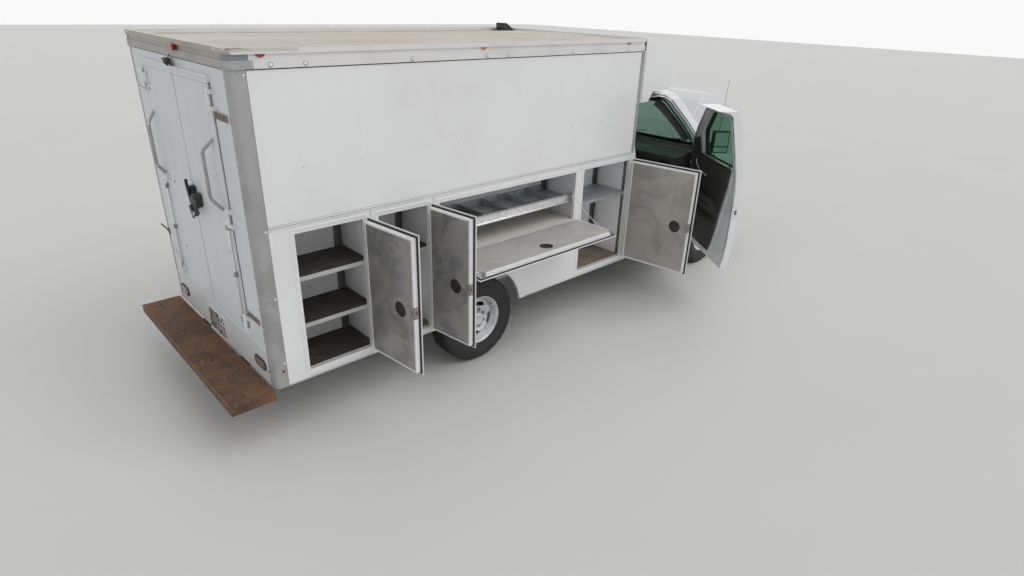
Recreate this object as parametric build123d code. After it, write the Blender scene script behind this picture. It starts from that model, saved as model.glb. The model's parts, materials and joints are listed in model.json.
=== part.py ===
from build123d import *
import math
import os

# Box-body service truck on a cutaway van chassis, in millimetres.
# Vehicle frame while modelling: X forward from the rear axle, Y left from the
# centre line, Z up from the ground. At the end every piece moves by one shift,
# so that the origin lies on the ground below the middle of the whole truck.

# Wheels and axles
wheelbase = 3600
front_track = 1730
rear_track = 1732
tyre_radius = 382
tyre_width = 246
tyre_shoulder = 42
rim_radius = 206
rim_flange_radius = 219
rim_width = 196
rim_wall = 9
hub_face_offset = 52
lug_circle_radius = 82.5
lug_count = 8
window_count = 4
window_length = 92
window_width = 40
window_turn = -12
kingpin_inset = 168
kingpin_radius = 15
fit_clearance = 0.05
steer_limit = 33

# Service box
box_rear = -1813
cab_behind_axle = 1625
cab_box_gap = 8
box_front = wheelbase - cab_behind_axle - cab_box_gap
box_half = 983
skirt_bottom = 457
floor_top = 770
rub_line = 1590
roof_top = 2631
rail_bottom = roof_top - 109
panel_thickness = 26
post_leg_side = 93
post_leg_rear = 86
post_wall = 28
post_round = 46
front_post_leg = 58
rail_proud = 7
rail_width = 40
roof_sheet_bottom = roof_top - 47
roof_edge = roof_top - 31
roof_crown = 24

# Side lockers, the same on both sides
locker_depth = 430
locker_wall = 20
face_thickness = 30
arch_radius = 468
arch_floor = 1050
# Locker openings: name, rear edge x, front edge x, bottom z, top z
lockers = [
    ("rear", -1560, -1065, skirt_bottom + 66, rub_line - 63),
    ("narrow", -945, -527, skirt_bottom + 48, rub_line - 67),
    ("long", -417, box_front - 847, arch_floor + 22, rub_line - 71),
    ("front", box_front - 739, box_front - 65, skirt_bottom + 61, rub_line - 65),
]
door_lap = 18
door_skin = 10
door_inner = 34
door_gap = 6
hinge_pin_radius = 7
finger_hole_radius = 45
# How far each locker door opens, in degrees; the kerb-side ones stand fully open
door_stop = {"rear": 96, "narrow": 97, "long": 90, "front": 98}

# Rear doors and rear face
rear_door_edge = box_half - 328
rear_door_bottom = floor_top + 8
rear_door_top = rail_bottom - 104
rear_door_thickness = 42
rear_door_gap = 6
rear_frame_thickness = 45
rear_door_stop = 115
deck_depth = 310
deck_lip = 66
deck_plate = 6
deck_top = skirt_bottom - 7

# Cab
cab_half = box_half + 23
cab_rear = wheelbase - cab_behind_axle
cab_roof = 2140
front_arch_radius = 426
door_front = wheelbase - front_arch_radius - 24
door_rear = cab_rear + 47
door_bottom = 520
door_top = cab_roof - 85
belt = 1490
cab_skin = 38
cab_door_thickness = 62
cab_gap = 7
cab_door_at_rest = 53
cab_door_stop = 67
seat_y = 470
engine_half = 195
seat_gap = 0.3
cowl_x = wheelbase - 40
cowl_z = 1372
nose_x = wheelbase + 870
bumper_front = nose_x + 52
bumper_wall = 38
hood_at_rest = 60
hood_stop = 66
front_skin = 30

# Chassis
frame_half = 430
frame_bottom = 560
frame_top = 700
frame_flange = 70
frame_wall = 8
frame_rear = -1745
# Cab floor pan, on the pads of the frame
pan_bottom = frame_top + 40
pan_top = pan_bottom + 28
frame_front = wheelbase + 620

axle_z = tyre_radius


def block(x, y, z):
    """A box from its low and high value along each axis."""
    centre = [(low + high) / 2 for low, high in (x, y, z)]
    return Pos(*centre) * Box(x[1] - x[0], y[1] - y[0], z[1] - z[0])


def both_sides(solid):
    return [solid, solid.mirror(Plane.XZ)]


def joined(pieces):
    total = pieces[0]
    for piece in pieces[1:]:
        total = total + piece
    return total


def prism_y(points, low, high):
    """A polygon of (x, z) points, extruded from y = low to y = high."""
    face = make_face(Polyline(*[(x, low, z) for x, z in points], close=True))
    return extrude(face, high - low, dir=(0, 1, 0))


def prism_x(points, low, high):
    """A polygon of (y, z) points, extruded from x = low to x = high."""
    face = make_face(Polyline(*[(low, y, z) for y, z in points], close=True))
    return extrude(face, high - low, dir=(1, 0, 0))


def prism_z(points, low, high):
    """A polygon of (x, y) points, extruded from z = low to z = high."""
    face = make_face(Polyline(*[(x, y, low) for x, y in points], close=True))
    return extrude(face, high - low, dir=(0, 0, 1))


def rod_y(x, z, radius, low, high):
    return Pos(x, (low + high) / 2, z) * Rot(90, 0, 0) * Cylinder(radius, high - low)


def rod_z(x, y, radius, low, high):
    return Pos(x, y, (low + high) / 2) * Cylinder(radius, high - low)


def rod_x(y, z, radius, low, high):
    return Pos((low + high) / 2, y, z) * Rot(0, 90, 0) * Cylinder(radius, high - low)


# Wheels

def tyre_section():
    """Half section of the tyre as (radius, width) points, bulged at the wall."""
    half = tyre_width / 2
    bead = rim_width / 2
    points = [
        (rim_radius, -bead + 14),
        (rim_flange_radius + 0.6, -bead + 6),
        (rim_flange_radius + 0.6, -bead - 5),
        (rim_flange_radius + 50, -half),
        (tyre_radius - tyre_shoulder - 14, -half + 2),
        (tyre_radius - 14, -half + 16),
        (tyre_radius, -half + tyre_shoulder),
    ]
    return points + [(r, -w) for r, w in reversed(points)]


def make_tyre():
    face = make_face(Polyline(*[(r, 0, w) for r, w in tyre_section()], close=True))
    return revolve(face, Axis.Z)


def make_rim():
    """Steel disc wheel: barrel, dished disc with windows, hub boss and nuts."""
    bead = rim_width / 2
    wall = rim_wall
    face_z = hub_face_offset
    barrel = make_face(Polyline(
        (rim_radius - 0.4 - wall, 0, -bead), (rim_flange_radius, 0, -bead - 4),
        (rim_flange_radius, 0, -bead + 4), (rim_radius - 0.4, 0, -bead + 12),
        (rim_radius - 0.4, 0, -34), (rim_radius - 22, 0, -24),
        (rim_radius - 22, 0, 24), (rim_radius - 0.4, 0, 34),
        (rim_radius - 0.4, 0, bead - 12), (rim_flange_radius, 0, bead - 4),
        (rim_flange_radius, 0, bead + 4), (rim_radius - 0.4 - wall, 0, bead),
        (rim_radius - 0.4 - wall, 0, 38), (rim_radius - 30, 0, 30),
        (rim_radius - 30, 0, -30), (rim_radius - 0.4 - wall, 0, -38),
        close=True))
    disc = make_face(Polyline(
        (0, 0, face_z), (lug_circle_radius + 26, 0, face_z),
        (lug_circle_radius + 52, 0, face_z + 16), (rim_radius - 26, 0, face_z - 6),
        (rim_radius - 26, 0, face_z - 30), (rim_radius - 42, 0, face_z - 24),
        (lug_circle_radius + 50, 0, face_z + 4), (lug_circle_radius + 30, 0, face_z - 12),
        (0, 0, face_z - 12), close=True))
    ring = make_face(Polyline(
        (rim_radius - 34, 0, face_z - 30), (rim_radius - 4, 0, face_z - 30),
        (rim_radius - 4, 0, face_z - 8), (rim_radius - 34, 0, face_z - 8), close=True))
    wheel = revolve(barrel, Axis.Z) + revolve(disc, Axis.Z) + revolve(ring, Axis.Z)
    window_radius = lug_circle_radius + 62
    for index in range(window_count):
        turn = Rot(0, 0, 360 / window_count * index + window_turn)
        oval = extrude(SlotOverall(window_length, window_width), 60)
        wheel = wheel - turn * Pos(window_radius, 0, face_z - 30) * Rot(0, 0, 90) * oval
    cap = Pos(0, 0, face_z + 16) * Cone(62, 52, 34)
    for index in range(lug_count):
        turn = Rot(0, 0, 360 / lug_count * index)
        wheel = wheel + turn * Pos(lug_circle_radius, 0, face_z + 11) * Cylinder(12, 24)
    return wheel + cap


def place_wheel(solid, x, y):
    """Stand a wheel made about Z on its axle, outer face away from the truck."""
    tilt = Rot(90, 0, 0) if y < 0 else Rot(-90, 0, 0)
    return Pos(x, y, axle_z) * tilt * solid


def wheels():
    tyre = make_tyre()
    rim = make_rim()
    out = {}
    # Wheel name, x, y
    places = [
        ("rear_right", 0, -rear_track / 2), ("rear_left", 0, rear_track / 2),
        ("front_right", wheelbase, -front_track / 2),
        ("front_left", wheelbase, front_track / 2),
    ]
    for name, x, y in places:
        out["tyre_" + name] = place_wheel(tyre, x, y)
        out["rim_" + name] = place_wheel(rim, x, y)
    return out


# Chassis

def make_frame():
    """Two channel rails, open inwards, with cross members between them."""
    web = frame_half - frame_wall
    channel = [
        (frame_half, frame_bottom), (frame_half, frame_top),
        (frame_half - frame_flange, frame_top),
        (frame_half - frame_flange, frame_top - frame_wall), (web, frame_top - frame_wall),
        (web, frame_bottom + frame_wall),
        (frame_half - frame_flange, frame_bottom + frame_wall),
        (frame_half - frame_flange, frame_bottom),
    ]
    rail = prism_x(channel, frame_rear, frame_front)
    pieces = both_sides(rail)
    cross_places = [frame_rear + 40, -900, 820, wheelbase - 1900, wheelbase - 1310,
                    frame_front - 60]
    for x in cross_places:
        pieces.append(block((x - 32, x + 32), (-web, web), (frame_bottom + 20, frame_top - 20)))
    # Pads under the cab floor
    for x in (cab_rear + 175, door_front - 140):
        for y in (-frame_half + 35, frame_half - 35):
            pieces.append(block((x - 40, x + 40), (y - 30, y + 30), (frame_top - 2, pan_bottom)))
    # Arms that carry the front bumper
    for y in (-frame_half + 35, frame_half - 35):
        pieces.append(block((frame_front - 30, frame_front), (y - 30, y + 30),
                            (420, frame_bottom + 10)))
        pieces.append(block((frame_front - 30, bumper_front - bumper_wall - seat_gap),
                            (y - 30, y + 30), (420, 480)))
    # Brackets that carry the rear step
    for y in (-frame_half + 35, frame_half - 35):
        pieces.append(block((box_rear - deck_depth + 20, frame_rear + 30), (y - 30, y + 30),
                            (deck_top - deck_plate - 60, deck_top - deck_plate)))
        pieces.append(block((frame_rear, frame_rear + 30), (y - 30, y + 30),
                            (deck_top - deck_plate - 60, frame_bottom + 10)))
    return joined(pieces)


def make_rear_axle():
    """Axle tube with its round housing and two leaf springs over it."""
    hub_inner = rear_track / 2 + hub_face_offset - 12 - 0.5
    tube = rod_y(0, axle_z, 44, -hub_inner + 60, hub_inner - 60)
    housing = Pos(0, 0, axle_z) * scale(Sphere(150), by=(1, 0.8, 1))
    nose = Pos(185, 0, axle_z + 10) * Rot(0, 90, 0) * Cone(95, 48, 190)
    pieces = [tube, housing, nose]
    for side in (-1, 1):
        drum = rod_y(0, axle_z, 150, min(side * 745, side * (hub_inner - 32)),
                     max(side * 745, side * (hub_inner - 32)))
        hub = rod_y(0, axle_z, 70, min(side * 740, side * hub_inner),
                    max(side * 740, side * hub_inner))
        pieces += [drum, hub]
        y = side * (frame_half + 50)
        upper = ThreePointArc((-740, y - 32, 585), (0, y - 32, axle_z + 112), (740, y - 32, 585))
        lower = ThreePointArc((740, y - 32, 562), (0, y - 32, axle_z + 42), (-740, y - 32, 562))
        ends = [Line(upper @ 1, lower @ 0), Line(lower @ 1, upper @ 0)]
        leaf = extrude(make_face([upper, ends[0], lower, ends[1]]), 64, dir=(0, 1, 0))
        pieces.append(leaf)
        for x in (-740, 740):
            inner, outer = sorted((side * frame_half, side * (frame_half + 88)))
            pieces.append(block((x - 34, x + 34), (inner, outer), (550, 640)))
        pieces.append(block((-70, 70), tuple(sorted((side * 440, side * 530))),
                            (axle_z - 56, axle_z - 38)))
        for x in (-50, 50):
            pieces.append(rod_z(x, y, 9, axle_z - 50, axle_z + 110))
    return joined(pieces)


kingpin_y = front_track / 2 - kingpin_inset


def make_front_suspension():
    """Cross member with an upper and a lower arm and a coil on each side."""
    x = wheelbase
    pieces = [block((x - 110, x + 110), (-frame_half + 20, frame_half - 20), (470, frame_bottom))]
    for side in (-1, 1):
        for z, half, root in ((axle_z - 118, 150, 330), (axle_z + 150, 110, 380)):
            arm = prism_z([
                (x - half, side * root), (x + half, side * root),
                (x + 34, side * kingpin_y), (x - 34, side * kingpin_y)], z - 16, z + 16)
            eye = rod_z(x, side * kingpin_y, 34, z - 16, z + 16)
            hole = rod_z(x, side * kingpin_y, kingpin_radius + fit_clearance, z - 17, z + 17)
            pieces.append(arm + eye - hole)
        coil = rod_z(x, side * 390, 48, axle_z - 105, 500)
        tower = block((x - 60, x + 60), tuple(sorted((side * 320, side * 425))),
                      (axle_z - 140, 480))
        upper_mount = block((x - 105, x + 105), tuple(sorted((side * 370, side * 429))),
                            (axle_z + 132, frame_bottom))
        pieces += [coil, tower, upper_mount]
    return joined(pieces)


def make_knuckle(side):
    """Upright with its kingpin, stub hub, brake disc and steering arm."""
    x, y = wheelbase, side * kingpin_y
    lower, upper = axle_z - 118, axle_z + 150
    hub_end = front_track / 2 + hub_face_offset - 12 - 0.5
    pin = rod_z(x, y, kingpin_radius, lower - 24, upper + 24)
    post = rod_z(x, y, 30, lower + 24, upper - 24)
    hub = rod_y(x, axle_z, 70, *sorted((side * (hub_end - 70), side * hub_end)))
    stub = rod_y(x, axle_z, 42, *sorted((y, side * (hub_end - 40))))
    disc = rod_y(x, axle_z, 152, *sorted((side * (kingpin_y + 75), side * (kingpin_y + 103))))
    arm = prism_z([(x, y - 22), (x, y + 22), (x - 175, y - side * 40 + 14),
                   (x - 175, y - side * 40 - 14)], axle_z - 60, axle_z - 36)
    return joined([post, pin, hub, stub, disc, arm])


radiator_x = (frame_front - 90, frame_front - 35)


def make_engine():
    """Engine and gearbox as plain blocks, with the radiator ahead of them."""
    low = frame_bottom + seat_gap
    body = block((wheelbase - 470, wheelbase + 430), (-engine_half, engine_half), (low, 1010))
    gearbox = block((wheelbase - 1170, wheelbase - 460), (-165, 165),
                    (frame_bottom - 110, frame_top - 10))
    radiator = block(radiator_x, (-355, 355), (frame_top + 4, 1020))
    feet = block(radiator_x, (-frame_half + 5, frame_half - 5), (frame_top + seat_gap, frame_top + 16))
    return [body + gearbox, radiator + feet]


def make_driveline():
    """Propeller shaft from the gearbox to the rear axle."""
    start = Vector(wheelbase - 1172.8, 0, frame_bottom - 45)
    end = Vector(283, 0, axle_z + 12)
    return tube_between(start, end, 42)


def tube_between(start, end, radius):
    along = end - start
    plane = Plane(origin=start, z_dir=along)
    return extrude(plane * Circle(radius), along.length)


def bent_rod(points, radius, bend):
    """A round bar along straight runs with equal bends."""
    path = FilletPolyline(*points, radius=bend)
    profile = Plane(origin=path @ 0, z_dir=path % 0) * Circle(radius)
    return sweep(profile, path=path)


exhaust_y = 385
exhaust_z = 500
silencer_x = (660, 1250)


def make_exhaust():
    """Pipe, silencer and tail pipe, below the left-hand rail."""
    pipe = bent_rod([(wheelbase - 600, exhaust_y, exhaust_z + 24),
                     (wheelbase - 1150, exhaust_y, exhaust_z),
                     (silencer_x[1] - 10, exhaust_y, exhaust_z)], 28, 120)
    silencer = rod_x(exhaust_y, exhaust_z - 20, 78, *silencer_x)
    tail = rod_x(exhaust_y, exhaust_z, 26, frame_rear + 250, silencer_x[0] + 10)
    hangers = [block((x - 12, x + 12), (exhaust_y - 8, exhaust_y + 8),
                     (exhaust_z + 10, frame_bottom - seat_gap)) for x in (-1300, 480, 1500)]
    return joined([pipe, silencer, tail] + hangers)


# Cab, made as one hull that is cut into its real panels

def cab_hull(inset):
    """The closed form of the cab behind the windscreen, shrunk by inset."""
    half = cab_half - inset
    roof = cab_roof - inset
    low = 420 + inset
    section = [
        (-half + 36, low), (-half + 6, 640), (-half, 760), (-half, 950), (-half + 6, 1300),
        (-half + 30, belt),
        (-half + 150, cab_roof - 120 - inset * 0.4), (-half + 188, cab_roof - 68 - inset * 0.6),
        (-half + 330, roof - 18), (0, roof),
    ]
    mirrored = [(-y, z) for y, z in reversed(section[:-1])]
    body = prism_x(section + mirrored, cab_rear - 5, cowl_x + 200)
    wide = cab_half + 5 - inset
    narrow = cab_half - 86 - inset
    body = body & prism_z([
        (cab_rear - 5, -wide), (door_front + 12, -wide), (cowl_x, -narrow), (cowl_x + 200, -narrow),
        (cowl_x + 200, narrow), (cowl_x, narrow), (door_front + 12, wide), (cab_rear - 5, wide),
    ], 300, cab_roof + 10)
    back = cab_rear
    side = [
        (back, low), (back, cab_roof - inset), (cowl_x - 940, cab_roof - inset),
        (cowl_x - 800 - inset * 0.3, cab_roof - 42 - inset * 0.9),
        (cowl_x - 710 - inset * 0.5, cab_roof - 116 - inset * 0.8),
        (cowl_x - inset * 0.9, cowl_z - inset * 0.5), (cowl_x - inset * 0.9, low),
    ]
    return body & prism_y(side, -cab_half - 5, cab_half + 5)


def door_outline(grow):
    """Outline of the cab door in (x, z), grown outwards by grow."""
    return [
        (door_rear - grow, door_bottom - grow), (door_front + grow, door_bottom - grow),
        (door_front + grow, belt + 10 + grow * 0.4), (door_front - 45 + grow, belt + 110 + grow),
        (door_front - 190 + grow * 0.8, belt + 260 + grow),
        (door_front - 460 + grow * 0.6, door_top - 70 + grow),
        (door_front - 560 + grow * 0.3, door_top - 14 + grow), (door_front - 660, door_top + grow),
        (door_rear - grow, door_top + grow),
    ]


def window_outline(inset):
    return [
        (door_rear + 62 + inset, belt + 20 + inset), (door_front - 305 - inset, belt + inset),
        (door_front - 350 - inset, belt + 255 - inset),
        (door_front - 590 - inset, door_top - 93 - inset * 0.8),
        (door_front - 670 - inset, door_top - 65 - inset),
        (door_rear + 62 + inset, door_top - 65 - inset),
    ]


screen_foot = cowl_z + 48
screen_head = cab_roof - 100


def screen_outline(inset):
    """Windscreen opening in (y, z)."""
    foot = cab_half - 161 - inset
    head = cab_half - 264 - inset
    return [(-foot, screen_foot + inset), (foot, screen_foot + inset),
            (head, screen_head - inset), (-head, screen_head - inset)]


firewall_half = cab_half - 126
cover_half = 222
firewall_bottom = 800


def make_cab_shell():
    """Roof, pillars, sills and firewall, with door and windscreen openings."""
    shell = cab_hull(0) - cab_hull(cab_skin)
    for low, high in ((-cab_half - 20, -640), (640, cab_half + 20)):
        shell = shell - prism_y(door_outline(cab_gap), low, high)
    shell = shell - prism_x(screen_outline(0), cowl_x - 770, cowl_x + 40)
    # Open at the back to the box, at the front to the wings, and below
    back = block((cab_rear - 20, cab_rear + cab_skin + 12), (186 - cab_half, cab_half - 186),
                 (floor_top, cab_roof - 150))
    inside = block((cab_rear - 20, cowl_x + 60), (-cab_half + 130, cab_half - 130), (400, 790))
    below = block((cab_rear - 20, cowl_x + 60), (-cab_half - 20, cab_half + 20), (300, 455))
    nose = nose_hull(-seat_gap) & block((door_front + 2, cowl_x + 60), (-1100, 1100), (300, 1500))
    toe = block((door_front + 2, cowl_x + 60), (-cab_half - 20, cab_half + 20), (400, 1200))
    shell = shell - back - below - inside - nose - toe
    firewall = block((cowl_x - cab_skin, cowl_x - 12), (-firewall_half, firewall_half),
                     (firewall_bottom, cowl_z + 16))
    firewall = firewall - block((cowl_x - 60, cowl_x), (-cover_half, cover_half),
                                (firewall_bottom - 5, 1100))
    pieces = [shell, firewall]
    for side in (-1, 1):
        pieces[0] = pieces[0] - block((door_front, door_front + 24), tuple(sorted(
            (side * (cab_half - 26), side * (cab_half + 20)))), (1000, 1204))
        sill = (cab_rear + 20, door_front - 10)
        pieces.append(block(sill, tuple(sorted((side * (cab_half - 130), side * (cab_half - 100)))),
                            (455, pan_top)))
        pieces.append(block(sill, tuple(sorted((side * (cab_half - 130), side * (cab_half - 62)))),
                            (455, 475)))
    return joined(pieces)


toe_board_x = door_front + 100
cover_length = 690


def make_cab_floor():
    """Floor pan with the raised engine cover between the seats."""
    half = cab_half - 130 - seat_gap
    toe = toe_board_x
    pan = block((cab_rear + 12, toe - 150), (-half, half), (pan_bottom, pan_top))
    head = cowl_z - 72
    toe_board = prism_y([(toe - 180, pan_bottom), (toe - 150, pan_bottom), (toe + 20, 860),
                         (toe + 20, head), (toe, head), (toe, 870), (toe - 170, pan_top),
                         (toe - 180, pan_top)], -half, half)
    start = toe - cover_length
    cover = prism_y([(start, pan_bottom), (start, pan_top), (start + 80, 1010), (toe, 1090),
                     (toe, pan_bottom)],
                    -cover_half, cover_half)
    tunnel = cover_half - 20
    inner = prism_y([(start + 30, pan_bottom - 2), (start + 105, 985), (toe + 30, 1065),
                     (toe + 30, pan_bottom - 2)],
                    -tunnel, tunnel)
    cover = cover - inner - block((start - 20, toe + 80), (-tunnel, tunnel), (700, 850))
    floor = pan + toe_board
    tall = (700, 1400)
    rear = floor & block((cab_rear, start), (-cab_half, cab_half), tall)
    front = (floor & block((toe, toe + 80), (-cover_half, cover_half), tall)) - inner
    wells = []
    for low, high in ((cover_half, cab_half), (-cab_half, -cover_half)):
        for reach in ((start, toe - 180), (toe - 180, toe), (toe, toe + 80)):
            wells.append(floor & block(reach, (low, high), tall))
    return [rear, cover, front] + wells


def make_windscreen():
    glass = cab_hull(8) - cab_hull(14)
    return glass & prism_x(screen_outline(1), cowl_x - 764, cowl_x + 20)


hinge_heights_cab = (760, 1080)
shut_line_pin = 4.2


def cab_door_hinge(side):
    """Upright hinge line in the gap between the door and the wing."""
    return (door_front + 5, side * (cab_half - 8), 1000)


def make_cab_door(side):
    """Door shell with its window opening; it carries the two-part mirror."""
    shell = cab_hull(0) - cab_hull(cab_door_thickness)
    low, high = (-cab_half - 10, -600) if side < 0 else (600, cab_half + 10)
    door = shell & prism_y(door_outline(0), low, high)
    door = door - prism_y(window_outline(0), low, high)
    top = cab_half + 2
    arm = block((door_front - 166, door_front - 116),
                tuple(sorted((side * (cab_half - 66), side * (top + 70)))),
                (belt + 40, belt + 80))
    mirror = block((door_front - 178, door_front - 110),
                   tuple(sorted((side * (top + 50), side * (top + 225)))),
                   (belt - 22, belt + 212))
    door = door + arm + fillet(mirror.edges(), 14)
    x, y, z = cab_door_hinge(side)
    for z in hinge_heights_cab:
        door = door + rod_z(x, y, shut_line_pin, z - 40, z + 40)
        door = door + block((door_front - 8, x), (y - 2, y + 2), (z - 36, z + 36))
    return door


def make_cab_glass(side):
    glass = cab_hull(24) - cab_hull(30)
    low, high = (-cab_half - 10, -600) if side < 0 else (600, cab_half + 10)
    return glass & prism_y(window_outline(0.5), low, high)


# Front end

def nose_hull(inset):
    """Closed form of the wings and hood ahead of the cab."""
    side = [
        (door_front + 12, 470 + inset), (door_front + 12, cowl_z + 30 - inset),
        (cowl_x + 6, cowl_z - inset), (cowl_x + 330, cowl_z - 54 - inset),
        (nose_x - 220, cowl_z - 172 - inset), (nose_x - 100 - inset, cowl_z - 232 - inset),
        (nose_x - 30 - inset, cowl_z - 292 - inset),
        (nose_x - inset, 950), (nose_x - inset, 470 + inset),
    ]
    half = cab_half - 2 - inset
    plan = [
        (door_front, -half), (cowl_x + 70, -half), (nose_x - 280, -half + 28),
        (nose_x - 110, -half + 90),
        (nose_x - 20 - inset, -half + 240), (nose_x - inset, -500), (nose_x - inset, 500),
        (nose_x - 20 - inset, half - 240), (nose_x - 110, half - 90), (nose_x - 280, half - 28),
        (cowl_x + 70, half), (door_front, half),
    ]
    section = [
        (-half + 36, 440), (-half + 6, 640), (-half, 760), (-half, cowl_z - 252),
        (-half + 18, cowl_z - 137), (-half + 60, cowl_z - 67 - inset * 0.4),
        (-half + 130, cowl_z - 27 - inset * 0.8), (-half + 420, cowl_z - 6 - inset),
        (0, cowl_z + 8 - inset),
    ]
    mirrored = [(-y, z) for y, z in reversed(section[:-1])]
    return prism_y(side, -cab_half, cab_half) & prism_z(plan, 400, 1500) & prism_x(
        section + mirrored, door_front, nose_x + 10)


hood_half = cab_half - 150
hood_rear = cowl_x + 46
hood_hinge = (hood_rear - 6, 0, cowl_z - 10)
hood_hinge_y = 480
hood_front = nose_x - 50
hood_gap = 6
hood_rear_gap = 18


def hood_outline(grow):
    """Outline of the hood in (x, y), grown outwards by grow, most at the front."""
    rear = hood_rear - grow * hood_rear_gap / hood_gap
    side = [
        (rear, hood_half - 8 + grow), (hood_front - 460, hood_half + grow),
        (hood_front - 280 + grow * 0.4, hood_half - 10 + grow),
        (hood_front - 170 + grow * 1.2, hood_half - 56 + grow * 0.7),
        (hood_front - 98 + grow * 1.6, hood_half - 166 + grow * 0.4),
        (hood_front - 48 + grow * 1.7, hood_half - 326 + grow * 0.2),
        (hood_front - 12 + grow * 1.7, hood_half - 536),
        (hood_front + grow * 1.7, hood_half - 736),
    ]
    return side + [(x, -y) for x, y in reversed(side)]


def front_arch(x, radius, low, high):
    return rod_y(x, axle_z, radius, low, high)


nose_joint = nose_x - 250
lamp_edge = cab_half - 126
cowl_joint = 600
cowl_bar_x = (cowl_x + 12, cowl_x + 26)
cowl_bar_z = (cowl_z - 182, cowl_z - 110)
cowl_bar_end = cab_half - 41


def make_wings():
    """Two wings, the panel round the grille and the cowl, butted together."""
    shell = nose_hull(0) - nose_hull(front_skin)
    shell = shell - block((door_front, cowl_x + 10), (106 - cab_half, cab_half - 106), (400, 1500))
    shell = shell - prism_z(hood_outline(hood_gap), 960, 1500)
    for low, high in ((-cab_half - 10, -640), (640, cab_half + 10)):
        shell = shell - front_arch(wheelbase, front_arch_radius, low, high)
    shell = shell - block((nose_x - 150, nose_x + 20), (-480, 480), (610, 1010))
    for side in (-1, 1):
        shell = shell - block((nose_joint, nose_x + 20), tuple(sorted((side * 500, side * lamp_edge))),
                              (760, 1000))
    below = block((door_front - 20, nose_x + 20), (-cab_half - 10, cab_half + 10), (380, 505))
    shell = shell - below
    wide = cab_half + 10
    tall = (380, 1500)
    nose = shell & block((nose_joint, nose_x + 20), (-wide, wide), tall)
    cowl = [shell & block((door_front, nose_joint), (-cowl_joint, cowl_joint), tall),
            block(cowl_bar_x, (-cowl_joint, cowl_joint), cowl_bar_z)]
    wings = []
    for side in (-1, 1):
        reach = tuple(sorted((side * cowl_joint, side * wide)))
        wing = [shell & block((door_front, nose_joint), reach, tall),
                block(cowl_bar_x, tuple(sorted((side * cowl_joint, side * cowl_bar_end))),
                      cowl_bar_z)]
        x, y, z = cab_door_hinge(side)
        for z in hinge_heights_cab:
            for low in (z - 40.3 - 26, z + 40.3):
                wing.append(rod_z(x, y, shut_line_pin, low, low + 26))
                wing.append(block((x, door_front + 20), (y - 2, y + 2), (low, low + 26)))
        wings.append(joined(wing))
        x, y, z = hood_hinge
        for low in (side * hood_hinge_y - 40.3 - 26, side * hood_hinge_y + 40.3):
            cowl.append(rod_y(x, z, shut_line_pin, low, low + 26))
            cowl.append(block((cowl_x + 20, x), (low, low + 26), (z - 3, z + 1)))
    return wings + [joined(cowl), nose]


def make_hood():
    shell = nose_hull(0) - nose_hull(22)
    skin = shell & prism_z(hood_outline(0), 1020, 1500)
    pieces = [skin]
    x, y, z = hood_hinge
    for side in (-1, 1):
        low = side * hood_hinge_y - 40
        pieces.append(rod_y(x, z, shut_line_pin, low, low + 80))
        pieces.append(block((x, hood_rear + 8), (low + 4, low + 76), (z - 3, z + 1)))
    return joined(pieces)


def make_grille():
    """Black frame in the nose with level bars and one upright in the middle."""
    frame = block((nose_x - 46, nose_x - 12), (-480 + seat_gap, 480 - seat_gap),
                  (610 + seat_gap, 1010 - seat_gap))
    frame = frame - block((nose_x - 60, nose_x), (-452, 452), (638, 982))
    pieces = [frame, block((nose_x - 44, nose_x - 16), (-12, 12), (630, 990))]
    bar_count = 7
    for index in range(bar_count):
        z = 638 + (982 - 638) * (index + 1) / (bar_count + 1)
        pieces.append(block((nose_x - 42, nose_x - 18), (-460, 460), (z - 8, z + 8)))
    return joined(pieces)


def make_headlamps():
    lamps = []
    for side in (-1, 1):
        lens = (nose_hull(3) - nose_hull(60)) & block(
            (nose_joint + 10, nose_x + 10),
            tuple(sorted((side * (500 + seat_gap), side * (lamp_edge - seat_gap)))),
            (760 + seat_gap, 1000 - seat_gap))
        lamps += [s for s in lens.solids() if s.volume > 1e5]
    return lamps


def make_front_bumper():
    front = bumper_front
    plan = [(front - 202, -cab_half + 16), (front - 122, -cab_half + 60),
            (front, -cab_half + 246), (front, cab_half - 246),
            (front - 122, cab_half - 60), (front - 202, cab_half - 16),
            (front - 237, cab_half - 16), (front - 237, -cab_half + 16)]
    beam = prism_z(plan, 390, 500)
    back = bumper_front - bumper_wall
    inner = [(front - 252, -cab_half + 50), (front - 142, -cab_half + 110),
             (back, -cab_half + 256), (back, cab_half - 256),
             (front - 142, cab_half - 110), (front - 252, cab_half - 50)]
    beam = beam - prism_z(inner, 400, 490)
    return beam - block((front - 272, front - 207), (-cab_half + 60, cab_half - 60), (380, 510))


wheel_centre = (cowl_x - 800, seat_y, 1325)
column_tilt = 32
column_length = 190


def steering_plane():
    lean = math.radians(column_tilt)
    return Plane(origin=wheel_centre, z_dir=(-math.cos(lean), 0, math.sin(lean)))


def make_dashboard():
    back = toe_board_x - seat_gap
    outline = [(back, 1070), (back, cowl_z - 70), (cowl_x - 70, cowl_z - 70),
               (cowl_x - 70, cowl_z - 32), (cowl_x - 345, cowl_z + 24), (cowl_x - 595, cowl_z - 10),
               (cowl_x - 635, cowl_z - 62), (cowl_x - 625, 1190), (cowl_x - 530, 1065)]
    dash = prism_y(outline, 166 - cab_half, cab_half - 166)
    dash = dash - block((cowl_x - 1010, back + 10), (-cover_half - 5, cover_half + 5), (900, 1100))
    column = steering_plane() * Pos(0, 0, -43.3 - column_length / 2) * Cylinder(32, column_length)
    return dash + column


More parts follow.
